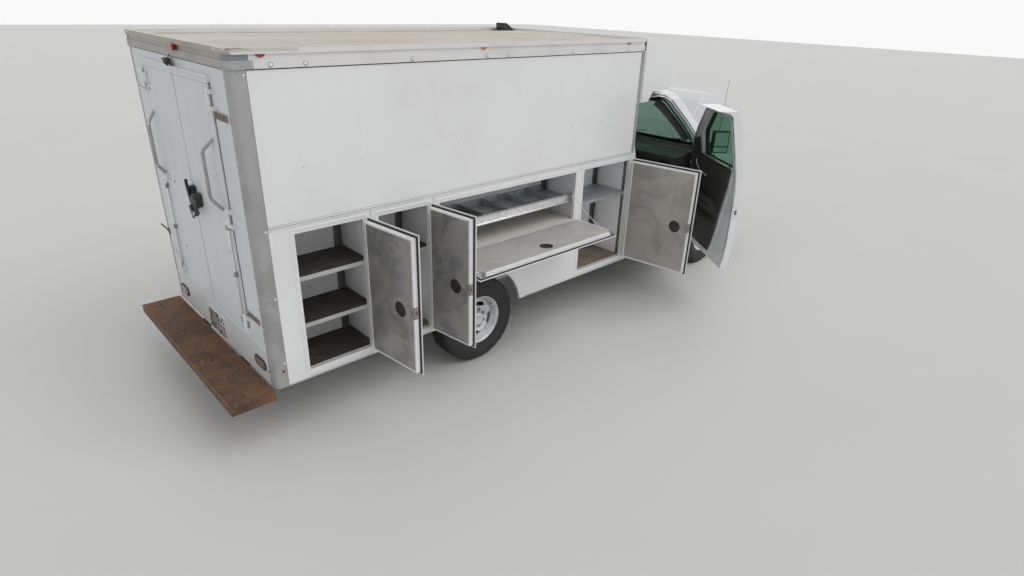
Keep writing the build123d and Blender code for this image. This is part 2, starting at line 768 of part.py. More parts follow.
def make_steering_wheel():
    """Rim, three spokes and hub about the column axis."""
    rim = Torus(182, 14)
    hub = Pos(0, 0, -20) * Cylinder(52, 46)
    pieces = [rim, hub]
    for angle in (0, 180, 270):
        pieces.append(Rot(0, 0, angle) * Pos(112, 0, -12) * Box(145, 34, 14))
    return steering_plane() * joined(pieces)


seat_base_top = 940
seat_behind = 205


def make_seats():
    seats = []
    for side in (-1, 1):
        y = side * seat_y
        low = seat_base_top
        x = cab_rear + seat_behind
        cushion = block((x, x + 480), (y - 240, y + 240), (low, low + 120))
        back = prism_y([(x, low + 80), (x + 110, low + 80), (x - 10, low + 720),
                        (x - 105, low + 720)], y - 235, y + 235)
        rest = prism_y([(x - 110, low + 740), (x - 30, low + 740), (x - 50, low + 900),
                        (x - 115, low + 900)], y - 120, y + 120)
        neck = block((x - 90, x - 50), (y - 60, y + 60), (low + 700, low + 750))
        seats.append(joined([cushion, back, rest, neck]))
    return seats


def make_seat_bases():
    x = cab_rear + seat_behind
    return [block((x + 70, x + 420), (side * seat_y - 180, side * seat_y + 180),
                  (pan_top, seat_base_top - seat_gap)) for side in (-1, 1)]


# Service box

def rounded_outline(x, half, radius):
    return Pos((x[0] + x[1]) / 2, 0, 0) * RectangleRounded(x[1] - x[0], 2 * half, radius)


def make_top_rail():
    """Edge rail round the roof: lower band, recessed channel and lip."""
    # Band: bottom z, top z, how far it stands out
    groove = roof_edge - 32
    bands = [(rail_bottom, groove, rail_proud), (groove, roof_edge, 1),
             (roof_edge, roof_top, rail_proud + 5)]
    inner = Pos((box_rear + box_front) / 2, 0) * Rectangle(
        box_front - box_rear - 2 * rail_width, 2 * (box_half - rail_width))
    pieces = []
    for low, high, proud in bands:
        outer = rounded_outline((box_rear - proud, box_front + proud), box_half + proud,
                                post_round + proud)
        pieces.append(Pos(0, 0, low) * extrude(outer - inner, high - low))
    return joined(pieces)


def roof_height(y):
    """Height of the crowned roof sheet at y, near enough to seat a piece."""
    half = box_half - rail_width
    return roof_edge + roof_crown * (1 - (y / half) ** 2)


def make_roof():
    """Roof sheet with a slight crown, inside the edge rail."""
    half = box_half - rail_width
    start = box_rear + rail_width
    arc = ThreePointArc((start, half, roof_edge), (start, 0, roof_edge + roof_crown),
                        (start, -half, roof_edge))
    base = Polyline(arc @ 1, (start, -half, roof_sheet_bottom), (start, half, roof_sheet_bottom),
                    arc @ 0)
    return extrude(make_face([arc, base]), box_front - box_rear - 2 * rail_width, dir=(1, 0, 0))


vent_place = (box_front - 182, box_half - 153)
vent_length = 135
vent_height = 74
vent_half_width = 62


def make_vent():
    """Low scoop near the front left corner of the roof, open to the rear."""
    x, y = vent_place
    low = roof_height(y - vent_half_width) + 0.4
    high = low + vent_height
    outline = [(x, low), (x, high), (x + 40, high), (x + vent_length, low + 16),
               (x + vent_length, low)]
    scoop = prism_y(outline, y - vent_half_width, y + vent_half_width)
    hollow = prism_y([(x - 5, low + 10), (x - 5, high - 10), (x + 38, high - 10),
                      (x + vent_length - 24, low + 14), (x + vent_length - 24, low + 10)],
                     y - vent_half_width + 10, y + vent_half_width - 10)
    return scoop - hollow


def make_side_panels():
    low = (box_rear + post_leg_side, box_front - front_post_leg)
    panel = block(low, (-box_half, -box_half + panel_thickness), (rub_line, rail_bottom))
    return both_sides(panel)


def make_posts():
    """Rounded corner posts: two tall ones at the rear, two at the front."""
    posts = []
    rear = [
        (box_rear, -box_half + post_leg_rear), (box_rear, -box_half),
        (box_rear + post_leg_side, -box_half),
        (box_rear + post_leg_side, -box_half + post_wall),
        (box_rear + post_wall, -box_half + post_wall),
        (box_rear + post_wall, -box_half + post_leg_rear),
    ]
    post = prism_z(rear, skirt_bottom, rail_bottom)
    corner = post.edges().filter_by(Axis.Z).sort_by(lambda e: (e @ 0).X + (e @ 0).Y)[0]
    posts += both_sides(fillet(corner, post_round))
    front = [
        (box_front - front_post_leg, -box_half), (box_front, -box_half),
        (box_front, -box_half + front_post_leg),
        (box_front - panel_thickness, -box_half + front_post_leg),
        (box_front - panel_thickness, -box_half + panel_thickness),
        (box_front - front_post_leg, -box_half + panel_thickness),
    ]
    post = prism_z(front, rub_line, rail_bottom)
    corner = post.edges().filter_by(Axis.Z).sort_by(lambda e: (e @ 0).Y - (e @ 0).X)[0]
    posts += both_sides(fillet(corner, 20))
    return posts


hinge_heights = (rear_door_bottom + 72, 1600, rear_door_top - 88)
hinge_stand = 14
barrel_radius = 11
hinge_strap_heights = (rear_door_bottom + 157, rear_door_top - 173)


def make_rear_frame():
    """Rear face round the doors, with the lamp panel and its torn hole."""
    half = box_half - post_leg_rear
    back = box_rear + rear_frame_thickness
    frame = block((box_rear + 0, back), (-half, half), (skirt_bottom, rail_bottom))
    gap = rear_door_gap
    frame = frame - block((box_rear - 5, back + 5),
                          (-rear_door_edge - gap, rear_door_edge + gap),
                          (rear_door_bottom - gap, rear_door_top + gap))
    frame = frame - block((box_rear - 5, back + 5), (-120, 190), (skirt_bottom + 30, skirt_bottom + 198))
    drip = block((box_rear - 16, box_rear), (-rear_door_edge - 12, rear_door_edge + 12),
                 (rear_door_top + gap + 2, rear_door_top + gap + 36))
    pieces = [frame, drip]
    for side in (-1, 1):
        for z in hinge_strap_heights:
            pieces.append(block((box_rear - 7, box_rear),
                                tuple(sorted((side * (rear_door_edge + 22), side * half))),
                                (z - 20, z + 20)))
        # Fixed knuckles above and below each door knuckle
        pin_x = box_rear - 8 - hinge_stand
        pin_y = side * rear_door_edge
        leaf = tuple(sorted((pin_y, pin_y + side * 60)))
        foot = tuple(sorted((pin_y + side * 12, pin_y + side * 60)))
        for z in hinge_heights:
            for low in (z - 36.3 - 24, z + 36.3):
                pieces.append(rod_z(pin_x, pin_y, barrel_radius, low, low + 24))
                pieces.append(block((pin_x - 3, box_rear + 2), foot, (low, low + 24)))
                pieces.append(block((pin_x - 3, pin_x + 3), leaf, (low, low + 24)))
    return joined(pieces)


def make_rear_door(side):
    """One barn door with hinge knuckles, grab rail and long lock rods."""
    outer = box_rear - 8
    inner = outer + rear_door_thickness
    near, far = sorted((side * rear_door_gap / 2, side * rear_door_edge))
    door = block((outer, inner), (near, far), (rear_door_bottom, rear_door_top))
    pieces = [door]
    pin_y = side * rear_door_edge
    pin_x = outer - hinge_stand
    for z in hinge_heights:
        pieces.append(rod_z(pin_x, pin_y, barrel_radius, z - 36, z + 36))
        leaf = tuple(sorted((pin_y, pin_y - side * 74)))
        pieces.append(block((pin_x - 3, outer), leaf, (z - 34, z + 34)))
    # Grab rail, bent from round bar
    rail_y = side * (rear_door_edge - 105)
    stand = outer - 66
    foot_y = rail_y + side * 40
    head = rear_door_top - 322
    foot = head - 466
    pieces.append(bent_rod([(outer + 4, foot_y, head), (outer - 20, foot_y, head - 21),
                            (stand, rail_y, head - 81), (stand, rail_y, foot + 82),
                            (outer - 20, foot_y, foot + 20), (outer + 4, foot_y, foot)], 9, 14))
    # Lock rod along the hinge edge with its keepers
    rod_place = side * (rear_door_edge - 36)
    pieces.append(rod_z(outer - 14, rod_place, 7, rear_door_bottom + 60, 1560))
    for z in (rear_door_bottom + 90, 1530):
        pieces.append(block((outer - 22, outer), (rod_place - 12, rod_place + 12),
                            (z - 14, z + 14)))
    if side < 0:
        # Lever lock with its hook, on the right-hand door
        pieces.append(block((outer - 26, outer), (-62, -14), (1520, 1672)))
        pieces.append(bent_rod([(outer - 18, -40, 1560), (outer - 52, -52, 1540),
                                (outer - 52, -88, 1470), (outer - 40, -128, 1500)], 12, 18))
    return joined(pieces)


def make_box_floor():
    """Deck on cross sills, which lie on the chassis rails."""
    edge = box_half - locker_depth - seat_gap
    deck = block((box_rear + rear_frame_thickness + seat_gap,
                  box_front - panel_thickness - seat_gap), (-edge, edge),
                 (floor_top - 24, floor_top))
    pieces = [deck]
    sill_pitch = 600
    count = 6
    for index in range(count):
        x = box_rear + 160 + sill_pitch * index
        pieces.append(block((x - 30, x + 30), (-edge, edge), (frame_top, floor_top - 20)))
    return joined(pieces)


def make_front_wall():
    """Front wall of the box, with the doorway through to the cab."""
    half = box_half - front_post_leg
    low = floor_top - 24
    wall = block((box_front - panel_thickness, box_front), (-half, half), (low, rail_bottom))
    # The wall is cut away between the lockers and where the cab is open to it
    doorway = block((box_front - 60, box_front + 20), (-330, 330),
                    (floor_top, cab_roof - 180))
    return wall - doorway


def locker_partitions():
    """Wall between two lockers, as (low x, high x), for every wall."""
    walls = []
    names = lockers
    first = names[0][1] - 40
    walls.append((first - locker_wall, first))
    for left, right in zip(names[:-1], names[1:]):
        middle = (left[2] + right[1]) / 2
        walls.append((middle - locker_wall / 2, middle + locker_wall / 2))
    last = box_front - panel_thickness
    walls.append((last - locker_wall, last))
    return walls


def make_locker(side):
    """Face with its four openings, case walls, floors and wheel arch."""
    outer = -box_half
    inner = -box_half + locker_depth
    rear, front = box_rear + post_leg_side, box_front
    face = block((rear, front), (outer, outer + face_thickness), (skirt_bottom, rub_line))
    rub = block((rear, front), (outer - 6, outer), (rub_line - 10, rub_line - 1))
    walls = locker_partitions()
    case_rear, case_front = walls[0][0], walls[-1][1]
    pieces = [face, rub]
    pieces.append(block((case_rear, case_front), (inner - locker_wall, inner),
                        (skirt_bottom + 20, rub_line)))
    pieces.append(block((case_rear, case_front), (outer, inner), (rub_line - locker_wall, rub_line)))
    for index, (low, high) in enumerate(walls):
        pieces.append(block((low, high), (outer, inner), (skirt_bottom, rub_line)))
    for index, (name, low, high, bottom, top) in enumerate(lockers):
        start, end = walls[index][0], walls[index + 1][1]
        pieces.append(block((start, end), (outer, inner), (bottom - locker_wall, bottom)))
    body = joined(pieces)
    for name, low, high, bottom, top in lockers:
        body = body - block((low, high), (outer - 10, outer + face_thickness + 1), (bottom, top))
    # Round arch over the wheel, through the face and under the long locker
    arch = rod_y(0, axle_z, arch_radius, outer - 10, outer + face_thickness + 1)
    arch = arch & block((-600, 600), (-1100, 0), (0, arch_floor - 40))
    body = body - arch
    well = block((walls[1][1] + 4 + (walls[2][0] - walls[1][1]), walls[3][0] - 620),
                 (outer + face_thickness, inner + 5), (0, arch_floor - 8))
    body = body - well
    for name, low, high, bottom, top in lockers:
        (x, y, z), along = locker_hinge(name)
        near = y + hinge_pin_radius + seat_gap
        if along == "z":
            leaf = block((x - 6, x + 6), (near, outer), (bottom - 8, top + 8))
        else:
            leaf = block((low - 8, high + 8), (near, outer), (z - 6, z + 6))
        body = body + leaf
    return body if side < 0 else body.mirror(Plane.XZ)


# Shelves: locker, z of the top face
shelf_levels = [("rear", 858), ("rear", 1204), ("narrow", 1180), ("front", 1196)]
shelf_thickness = 24
tray_level = 1262


def make_shelves():
    """Shelves in the lockers, and the tool tray with its dividers."""
    spans = {}
    walls = locker_partitions()
    for index, locker in enumerate(lockers):
        spans[locker[0]] = (walls[index][1], walls[index + 1][0])
    depth = (-box_half + face_thickness + 6, -box_half + locker_depth - locker_wall)
    right = []
    for name, level in shelf_levels:
        right.append(block(spans[name], depth, (level - shelf_thickness, level)))
    low, high = spans["long"]
    front = depth[0] + 28
    back = depth[1]
    tray = block((low, high), (front, back), (tray_level, tray_level + 3))
    tray = tray + block((low, high), (front, front + 3), (tray_level - 30, tray_level + 42))
    tray = tray + block((low, high), (back - 3, back), (tray_level, tray_level + 60))
    divider_count = 5
    for index in range(divider_count):
        x = low + (high - low) * (index + 1) / (divider_count + 1)
        tray = tray + block((x - 2, x + 2), (front, back), (tray_level, tray_level + 52))
    right.append(tray)
    return right + [shelf.mirror(Plane.XZ) for shelf in right]


def locker_hinge(name):
    """Hinge line of a closed right-hand door: a point and its direction."""
    low, high, bottom, top = next(item[1:] for item in lockers if item[0] == name)
    y = -box_half - 1 - door_skin - 1
    if name == "long":
        return (0, y, bottom - door_lap - hinge_pin_radius), "x"
    return (high + door_lap + hinge_pin_radius, y, 0), "z"


def make_locker_door(name):
    """Closed right-hand locker door: outer skin, seal lip and inner box."""
    low, high, bottom, top = next(item[1:] for item in lockers if item[0] == name)
    face = -box_half - 1
    lap = door_lap
    skin = block((low - lap, high + lap), (face - door_skin, face), (bottom - lap, top + lap))
    seal = block((low - 4, high + 4), (face - 1, -box_half - 0.7), (bottom - 4, top + 4))
    gap = door_gap
    inner = block((low + gap, high - gap), (face, face + door_inner), (bottom + gap, top - gap))
    hole_x = low + 105
    hole_z = (bottom + top) / 2 - 60
    if name == "long":
        hole_x = (low + high) / 2 + 30
        hole_z = top - 115
    hole = rod_y(hole_x, hole_z, finger_hole_radius, face + door_inner - 20, face + door_inner + 5)
    door = skin + inner - hole
    latch_z = hole_z + 12
    if name == "long":
        latch = block((hole_x - 34, hole_x + 34), (face + door_inner - 22, face + door_inner + 4),
                      (top - gap - 30, top - gap + 2))
        handle = block((hole_x - 70, hole_x + 70), (face - door_skin - 7, face - door_skin),
                       (hole_z - 32, hole_z + 32))
    else:
        latch = block((low + gap - 2, low + gap + 30),
                      (face + door_inner - 22, face + door_inner + 4),
                      (latch_z - 34, latch_z + 34))
        handle = block((low + 72, low + 138), (face - door_skin - 7, face - door_skin),
                       (hole_z - 70, hole_z + 70))
    (x, y, z), along = locker_hinge(name)
    if along == "z":
        knuckle = rod_z(x, y, hinge_pin_radius, bottom - lap + 10, top + lap - 10)
        leaf = block((high + lap - 12, x), (y - 1.5, y + 1.5), (bottom - lap + 12, top + lap - 12))
    else:
        knuckle = rod_x(y, z, hinge_pin_radius, low - lap + 10, high + lap - 10)
        leaf = block((low - lap + 12, high + lap - 12), (y - 1.5, y + 1.5), (z, bottom - lap + 12))
    return joined([door, latch, handle, knuckle, leaf])


def turned(solid, origin, direction, angle):
    return solid.rotate(Axis(origin, direction), angle)


def locker_doors():
    out = {}
    for name, *_ in lockers:
        closed = make_locker_door(name)
        out["locker_door_left_" + name] = closed.mirror(Plane.XZ)
        origin, along = locker_hinge(name)
        direction = (0, 0, 1) if along == "z" else (1, 0, 0)
        out["locker_door_right_" + name] = turned(closed, origin, direction, door_stop[name])
    return out


def make_nose_cone():
    """Moulded cap over the cab: thin, open below and towards the box."""
    start = box_front
    half = box_half - 4
    top = roof_top - 2
    low = cab_roof + 12
    flange = cab_roof - 80
    below = cab_roof - 240
    above = roof_top + 69
    # Heights of the brow as shares of its rise, so that it keeps its curve
    rise = (top - low) / 477
    outline = [(start, flange), (start, top), (start + 190, top - 6 * rise),
               (start + 330, top - 70 * rise), (start + 470, top - 190 * rise),
               (start + 560, top - 320 * rise), (start + 640, low + 60 * rise),
               (start + 655, low), (start + 200, low), (start + 130, flange)]
    inner = [(start - 5, below), (start - 5, top - 8), (start + 186, top - 8 - 6 * rise),
             (start + 324, top - 8 - 69 * rise), (start + 462, top - 8 - 187 * rise),
             (start + 551, top - 8 - 316 * rise), (start + 632, low - 2 + 60 * rise),
             (start + 640, below)]
    cap = prism_y(outline, -half, half)
    lower_plan = [(start, -half), (start + 300, -half + 6), (start + 520, -half + 40),
                  (start + 655, -half + 150), (start + 655, half - 150),
                  (start + 520, half - 40), (start + 300, half - 6), (start, half)]
    inner_plan = [(start - 5, -half + 8), (start + 298, -half + 14), (start + 516, -half + 48),
                  (start + 647, -half + 154), (start + 647, half - 154),
                  (start + 516, half - 48), (start + 298, half - 14), (start - 5, half - 8)]
    cap = cap & prism_z(lower_plan, below, above)
    cavity = prism_y(inner, -half, half) & prism_z(inner_plan, below - 20, above)
    cap = cap - cavity
    # The cut for the cab roof, which the flange follows
    side = [(cab_half - 80, below), (cab_half - 118, cab_roof - 110),
            (cab_half - 160, cab_roof - 48), (cab_half - 310, cab_roof - 2)]
    tunnel = prism_x([(-y, z) for y, z in side] + [(0, cab_roof + 10)] + side[::-1],
                     start - 5, start + 700)
    rail = block((start - 5, start + rail_proud + 5 + seat_gap), (-box_half, box_half),
                 (rail_bottom - 1, roof_top + 5))
    return cap - tunnel - rail


def make_rear_bumper():
    """Deep plate step with turned-down edges."""
    x = (box_rear - deck_depth, box_rear - 8)
    deck = block(x, (-box_half, box_half), (deck_top - deck_lip, deck_top))
    under = block((x[0] + deck_plate, x[1] + 1),
                  (-box_half + deck_plate, box_half - deck_plate),
                  (deck_top - deck_lip - 5, deck_top - deck_plate))
    return deck - under


marker_y = -140


def make_rear_lamps():
    """Oval lamps in the lower panel and a marker lamp on the top rail."""
    lamps = []
    for side in (-1, 1):
        face = Plane(origin=(box_rear, side * (box_half - 213), skirt_bottom + 127),
                     z_dir=(-1, 0, 0))
        oval = face * Rot(0, 0, 90) * SlotOverall(164, 62)
        lamps.append(extrude(oval, 9))
    lamps.append(block((box_rear - rail_proud - 22, box_rear - 1.2),
                       (marker_y - 42, marker_y + 42), (roof_edge - 30, roof_edge - 1)))
    return lamps


def make_fuel_tank():
    rear, front = wheelbase - 2350, wheelbase - 1350
    tank = block((rear, front), (-frame_half + 15, -60), (330, frame_bottom - 12))
    tank = fillet(tank.edges().filter_by(Axis.X), 45)
    straps = [block((x - 20, x + 20), (-frame_half + 11, -56), (frame_bottom - 15, frame_bottom))
              for x in (rear + 200, front - 200)]
    return joined([tank] + straps)


def all_nodes():
    nodes = {
        "chassis_frame": make_frame(),
        "rear_axle": make_rear_axle(),
        "front_suspension": make_front_suspension(),
        "engine": make_engine(),
        "propeller_shaft": make_driveline(),
        "exhaust": make_exhaust(),
        "fuel_tank": make_fuel_tank(),
        "knuckle_right": make_knuckle(-1),
        "knuckle_left": make_knuckle(1),
        "cab_shell": make_cab_shell(),
        "cab_floor": make_cab_floor(),
        "windscreen": make_windscreen(),
        "cab_door_right": make_cab_door(-1),
        "cab_door_left": make_cab_door(1),
        "cab_glass_right": make_cab_glass(-1),
        "cab_glass_left": make_cab_glass(1),
        "wings": make_wings(),
        "hood": make_hood(),
        "grille": make_grille(),
        "headlamps": make_headlamps(),
        "front_bumper": make_front_bumper(),
        "dashboard": make_dashboard(),
        "steering_wheel": make_steering_wheel(),
        "seats": make_seats(),
        "seat_bases": make_seat_bases(),
        "box_floor": make_box_floor(),
        "side_panels": make_side_panels(),
        "front_wall": make_front_wall(),
        "roof": make_roof(),
        "roof_vent": make_vent(),
        "top_rail": make_top_rail(),
        "corner_posts": make_posts(),
        "rear_frame": make_rear_frame(),
        "rear_door_right": make_rear_door(-1),
        "rear_door_left": make_rear_door(1),
        "locker_right": make_locker(-1),
        "locker_left": make_locker(1),
        "shelves": make_shelves(),
        "nose_cone": make_nose_cone(),
        "rear_bumper": make_rear_bumper(),
        "rear_lamps": make_rear_lamps(),
    }
    nodes.update(wheels())
    nodes.update(locker_doors())
    return nodes


def at_rest(nodes):
    """Open the kerb-side cab door, with its glass, and the hood as they stand."""
    for name in ("cab_door_right", "cab_glass_right"):
        nodes[name] = turned(nodes[name], cab_door_hinge(-1), (0, 0, 1), cab_door_at_rest)
    nodes["hood"] = turned(nodes["hood"], hood_hinge, (0, -1, 0), hood_at_rest)
    return nodes


def as_compound(shape):
    solids = []
    for piece in shape if isinstance(shape, list) else [shape]:
        solids += piece.solids()
    return solids[0] if len(solids) == 1 else Compound(children=solids)


def frame_shift(shapes):
    """From the vehicle frame to the part's origin, below the middle."""
    boxes = [shape.bounding_box() for shape in shapes.values()]
    low_x, high_x = min(b.min.X for b in boxes), max(b.max.X for b in boxes)
    low_y, high_y = min(b.min.Y for b in boxes), max(b.max.Y for b in boxes)
    low_z = min(b.min.Z for b in boxes)
    return Vector(-(low_x + high_x) / 2, -(low_y + high_y) / 2, -low_z)


shapes = {name: as_compound(shape) for name, shape in at_rest(all_nodes()).items()}
shift = frame_shift(shapes)
os.makedirs("parts", exist_ok=True)
for name, shape in shapes.items():
    export_step(Pos(shift) * shape, f"parts/{name}.step")
print("shift", shift, "nodes", len(shapes))
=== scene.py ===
import bpy
import bmesh
import json
import math
import random
from mathutils import Matrix, Vector

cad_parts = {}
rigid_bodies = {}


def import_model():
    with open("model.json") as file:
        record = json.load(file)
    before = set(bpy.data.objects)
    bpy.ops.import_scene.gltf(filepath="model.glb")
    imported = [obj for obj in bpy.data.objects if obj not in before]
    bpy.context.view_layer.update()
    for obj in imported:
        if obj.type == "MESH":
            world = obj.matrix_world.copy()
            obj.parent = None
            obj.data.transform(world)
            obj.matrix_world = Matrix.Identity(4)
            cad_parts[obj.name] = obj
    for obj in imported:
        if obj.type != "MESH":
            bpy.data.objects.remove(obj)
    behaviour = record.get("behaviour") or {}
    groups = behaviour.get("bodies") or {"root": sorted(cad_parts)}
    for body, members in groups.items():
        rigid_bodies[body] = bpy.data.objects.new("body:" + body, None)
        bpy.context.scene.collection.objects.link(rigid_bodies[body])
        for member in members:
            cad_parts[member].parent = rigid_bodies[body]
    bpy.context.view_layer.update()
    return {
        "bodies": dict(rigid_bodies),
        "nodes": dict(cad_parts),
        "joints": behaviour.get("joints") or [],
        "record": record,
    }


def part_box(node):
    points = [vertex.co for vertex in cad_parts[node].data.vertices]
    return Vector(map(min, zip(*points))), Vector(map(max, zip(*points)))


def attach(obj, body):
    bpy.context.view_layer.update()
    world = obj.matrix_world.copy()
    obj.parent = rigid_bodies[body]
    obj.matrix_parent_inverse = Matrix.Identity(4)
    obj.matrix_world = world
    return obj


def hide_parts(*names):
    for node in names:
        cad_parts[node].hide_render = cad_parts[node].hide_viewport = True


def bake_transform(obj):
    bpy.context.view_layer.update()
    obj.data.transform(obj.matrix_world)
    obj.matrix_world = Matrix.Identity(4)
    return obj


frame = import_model()
print("frame loaded:", len(frame["nodes"]), "nodes")

# Sizes below are in truck millimetres: x forward from the rear axle, y left, z up.
axleLow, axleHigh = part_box("tyre_rear_right")
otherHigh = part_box("tyre_rear_left")[1]
origin = Vector(((axleLow.x + axleHigh.x) / 2, (axleLow.y + otherHigh.y) / 2, 0))
placing = Matrix.Translation(origin) @ Matrix.Scale(0.001, 4)


def place(x, y, z):
    return placing @ Vector((x, y, z))


# Camera at the photograph's view
camera = {"place": (-3117, -4626, 2914), "yaw": 46.32, "pitch": 24.78, "roll": 1.89, "lens": 21.95}
eye = bpy.data.objects.new("viewCamera", bpy.data.cameras.new("viewCamera"))
bpy.context.scene.collection.objects.link(eye)
eye.data.sensor_width = 36
eye.data.lens = camera["lens"]
eye.data.clip_end = 200
yaw, pitch, roll = (math.radians(camera[k]) for k in ("yaw", "pitch", "roll"))
look = Vector((math.cos(yaw) * math.cos(pitch), math.sin(yaw) * math.cos(pitch), -math.sin(pitch)))
level = Vector((math.sin(yaw), -math.cos(yaw), 0))
upright = level.cross(look)
right = math.cos(roll) * level + math.sin(roll) * upright
up = math.cos(roll) * upright - math.sin(roll) * level
turn = Matrix((right, up, -look)).transposed().to_4x4()
eye.matrix_world = Matrix.Translation(place(*camera["place"])) @ turn
bpy.context.scene.camera = eye
bpy.context.scene.view_settings.view_transform = "Standard"


# Shader sums

class Wire:  # one socket of a material, used like a number or a colour
    def __init__(self, socket):
        self.socket, self.tree = socket, socket.id_data

    def math(self, operation, *values):
        return add(self.tree, "ShaderNodeMath", {"operation": operation}, dict(enumerate(values)))

    def __add__(self, other):
        return self.math("ADD", self, other)

    def __sub__(self, other):
        return self.math("SUBTRACT", self, other)

    def __rsub__(self, other):
        return self.math("SUBTRACT", other, self)

    def __mul__(self, other):
        return self.math("MULTIPLY", self, other)

    def __truediv__(self, other):
        return self.math("DIVIDE", self, other)

    __radd__ = __add__
    __rmul__ = __mul__

    def steps(self, low, high):  # 0 below low, 1 above high, smooth between
        return add(self.tree, "ShaderNodeMapRange", {"interpolation_type": "SMOOTHSTEP"},
                   {0: self, 1: low, 2: high, 3: 0.0, 4: 1.0})

    def most(self, other):
        return self.math("MAXIMUM", self, other)

    def wave(self, pitch):  # a triangle between 0 and 1 along a length
        return self.math("PINGPONG", self, pitch / 2) / (pitch / 2)


def add(tree, kind, settings=None, values=None, out=None):
    node = tree.nodes.new(kind)
    for name, value in (settings or {}).items():
        setattr(node, name, value)
    for name, value in (values or {}).items():
        socket = node.inputs[name]
        if isinstance(value, Wire):
            tree.links.new(value.socket, socket)
        elif socket.type == "RGBA" and len(value) == 3:
            socket.default_value = (*value, 1)
        else:
            socket.default_value = value
    if out is None:
        out = next(s.name for s in node.outputs if s.enabled)
    return Wire(next(s for s in node.outputs if s.name == out and s.enabled))


class Finish:  # a material being made: its tree, its place on the piece, its shader
    def __init__(self, name):
        self.material = bpy.data.materials.new(name)
        self.material.use_nodes = True
        self.tree = self.material.node_tree
        self.tree.nodes.clear()
        self.spot = self.add("ShaderNodeTexCoord", out="Object")
        self.x, self.y, self.z = (self.add("ShaderNodeSeparateXYZ", values={0: self.spot}, out=k)
            for k in "XYZ")

    def add(self, kind, settings=None, values=None, out=None):
        return add(self.tree, kind, settings, values, out)

    def stretch(self, x, y, z):
        return self.add("ShaderNodeVectorMath", {"operation": "MULTIPLY"}, {0: self.spot, 1: (x, y, z)})

    # Blotches about size metres wide
    def noise(self, size, detail=3.0, rough=0.55, where=None, warp=0.0):
        return self.add("ShaderNodeTexNoise", {}, {"Vector": where or self.spot, "Scale": 1 / size,
            "Detail": detail, "Roughness": rough, "Distortion": warp}, "Fac")

    def cells(self, size):
        return self.add("ShaderNodeTexVoronoi", {}, {"Vector": self.spot, "Scale": 1 / size},
            "Distance")

    def mix(self, mask, first, second):
        return self.add("ShaderNodeMix", {"data_type": "RGBA", "clamp_factor": True},
                        {0: mask, 6: first, 7: second}, "Result")

    def bump(self, height, depth, strength=1.0):
        return self.add("ShaderNodeBump", {}, {"Height": height, "Distance": depth,
            "Strength": strength}, "Normal")

    def wrap(self, **values):
        given = {name.replace("_", " "): value for name, value in values.items()}
        shader = self.add("ShaderNodeBsdfPrincipled", {}, given, "BSDF")
        self.add_output(shader)
        return self.material

    def add_output(self, shader):
        node = self.tree.nodes.new("ShaderNodeOutputMaterial")
        self.tree.links.new(shader.socket, node.inputs["Surface"])


def paintFinish(name, look):
    f = Finish(name)
    clouds = f.noise(look["cloud"], 4, 0.6)
    streaks = f.noise(0.05, 3, 0.5, f.stretch(1, 1, 0.06))
    fine = f.noise(0.012, 5, 0.7)
    dirt = (clouds.steps(0.42, 0.75) * look["dirt"] + streaks.steps(0.5, 0.8) * look["streak"])
    low = (look["height"] - f.z).steps(0.0, look["height"]) * look["splash"] * (fine * 0.7 + 0.5)
    specks = fine.steps(0.70, 0.78) * look["speck"]
    colour = f.mix(dirt, look["colour"], look["shade"])
    colour = f.mix(low, colour, look["mud"])
    colour = f.mix(specks, colour, look["mud"])
    gloss = look["rough"] + clouds * 0.12 + low * 0.25
    waves = f.noise(look["wave"], 1.5) * 0.004 + fine * 0.00015
    return f.wrap(Base_Color=colour, Roughness=gloss, Normal=f.bump(waves, 0.35, 0.5),
                  Coat_Weight=look["coat"], Coat_Roughness=0.08)


def metalFinish(name, look):  # bare sheet with a brushed grain along one axis and dull smudges
    f = Finish(name)
    grain = f.noise(look["grain"], 4, 0.6, f.stretch(*look["along"]))
    smudge = f.noise(look["smudge"], 4, 0.62, warp=0.6)
    spots = f.noise(0.03, 3, 0.6)
    dull = smudge.steps(0.42, 0.66)
    colour = f.mix(dull * look["dull"], look["colour"], look["shade"])
    colour = f.mix(spots.steps(0.66, 0.74) * look["spot"], colour, look["stain"])
    colour = f.mix((grain - 0.5) * 0.5 + 0.25, colour, look["bright"])
    gloss = look["rough"] + smudge * look["vary"] + grain * 0.08
    return f.wrap(Base_Color=colour, Metallic=look["metal"], Roughness=gloss,
                  Normal=f.bump(grain * 0.0004 + smudge * 0.003, 0.3, 0.5))


def plainFinish(name, look):  # moulded plastic, rubber, cast and painted iron
    f = Finish(name)
    grain = f.cells(look["grain"]) if look.get("leather") else f.noise(look["grain"], 3, 0.6)
    clouds = f.noise(look["cloud"], 4, 0.6)
    dust = clouds.steps(0.45, 0.8) * look["dust"]
    colour = f.mix(dust, look["colour"], look["shade"])
    colour = f.mix(grain.steps(0.3, 0.8) * 0.35, colour, look["light"])
    return f.wrap(Base_Color=colour, Metallic=look.get("metal", 0.0), Roughness=look["rough"] + clouds
        * 0.18, Normal=f.bump(grain, look["depth"], 0.6))


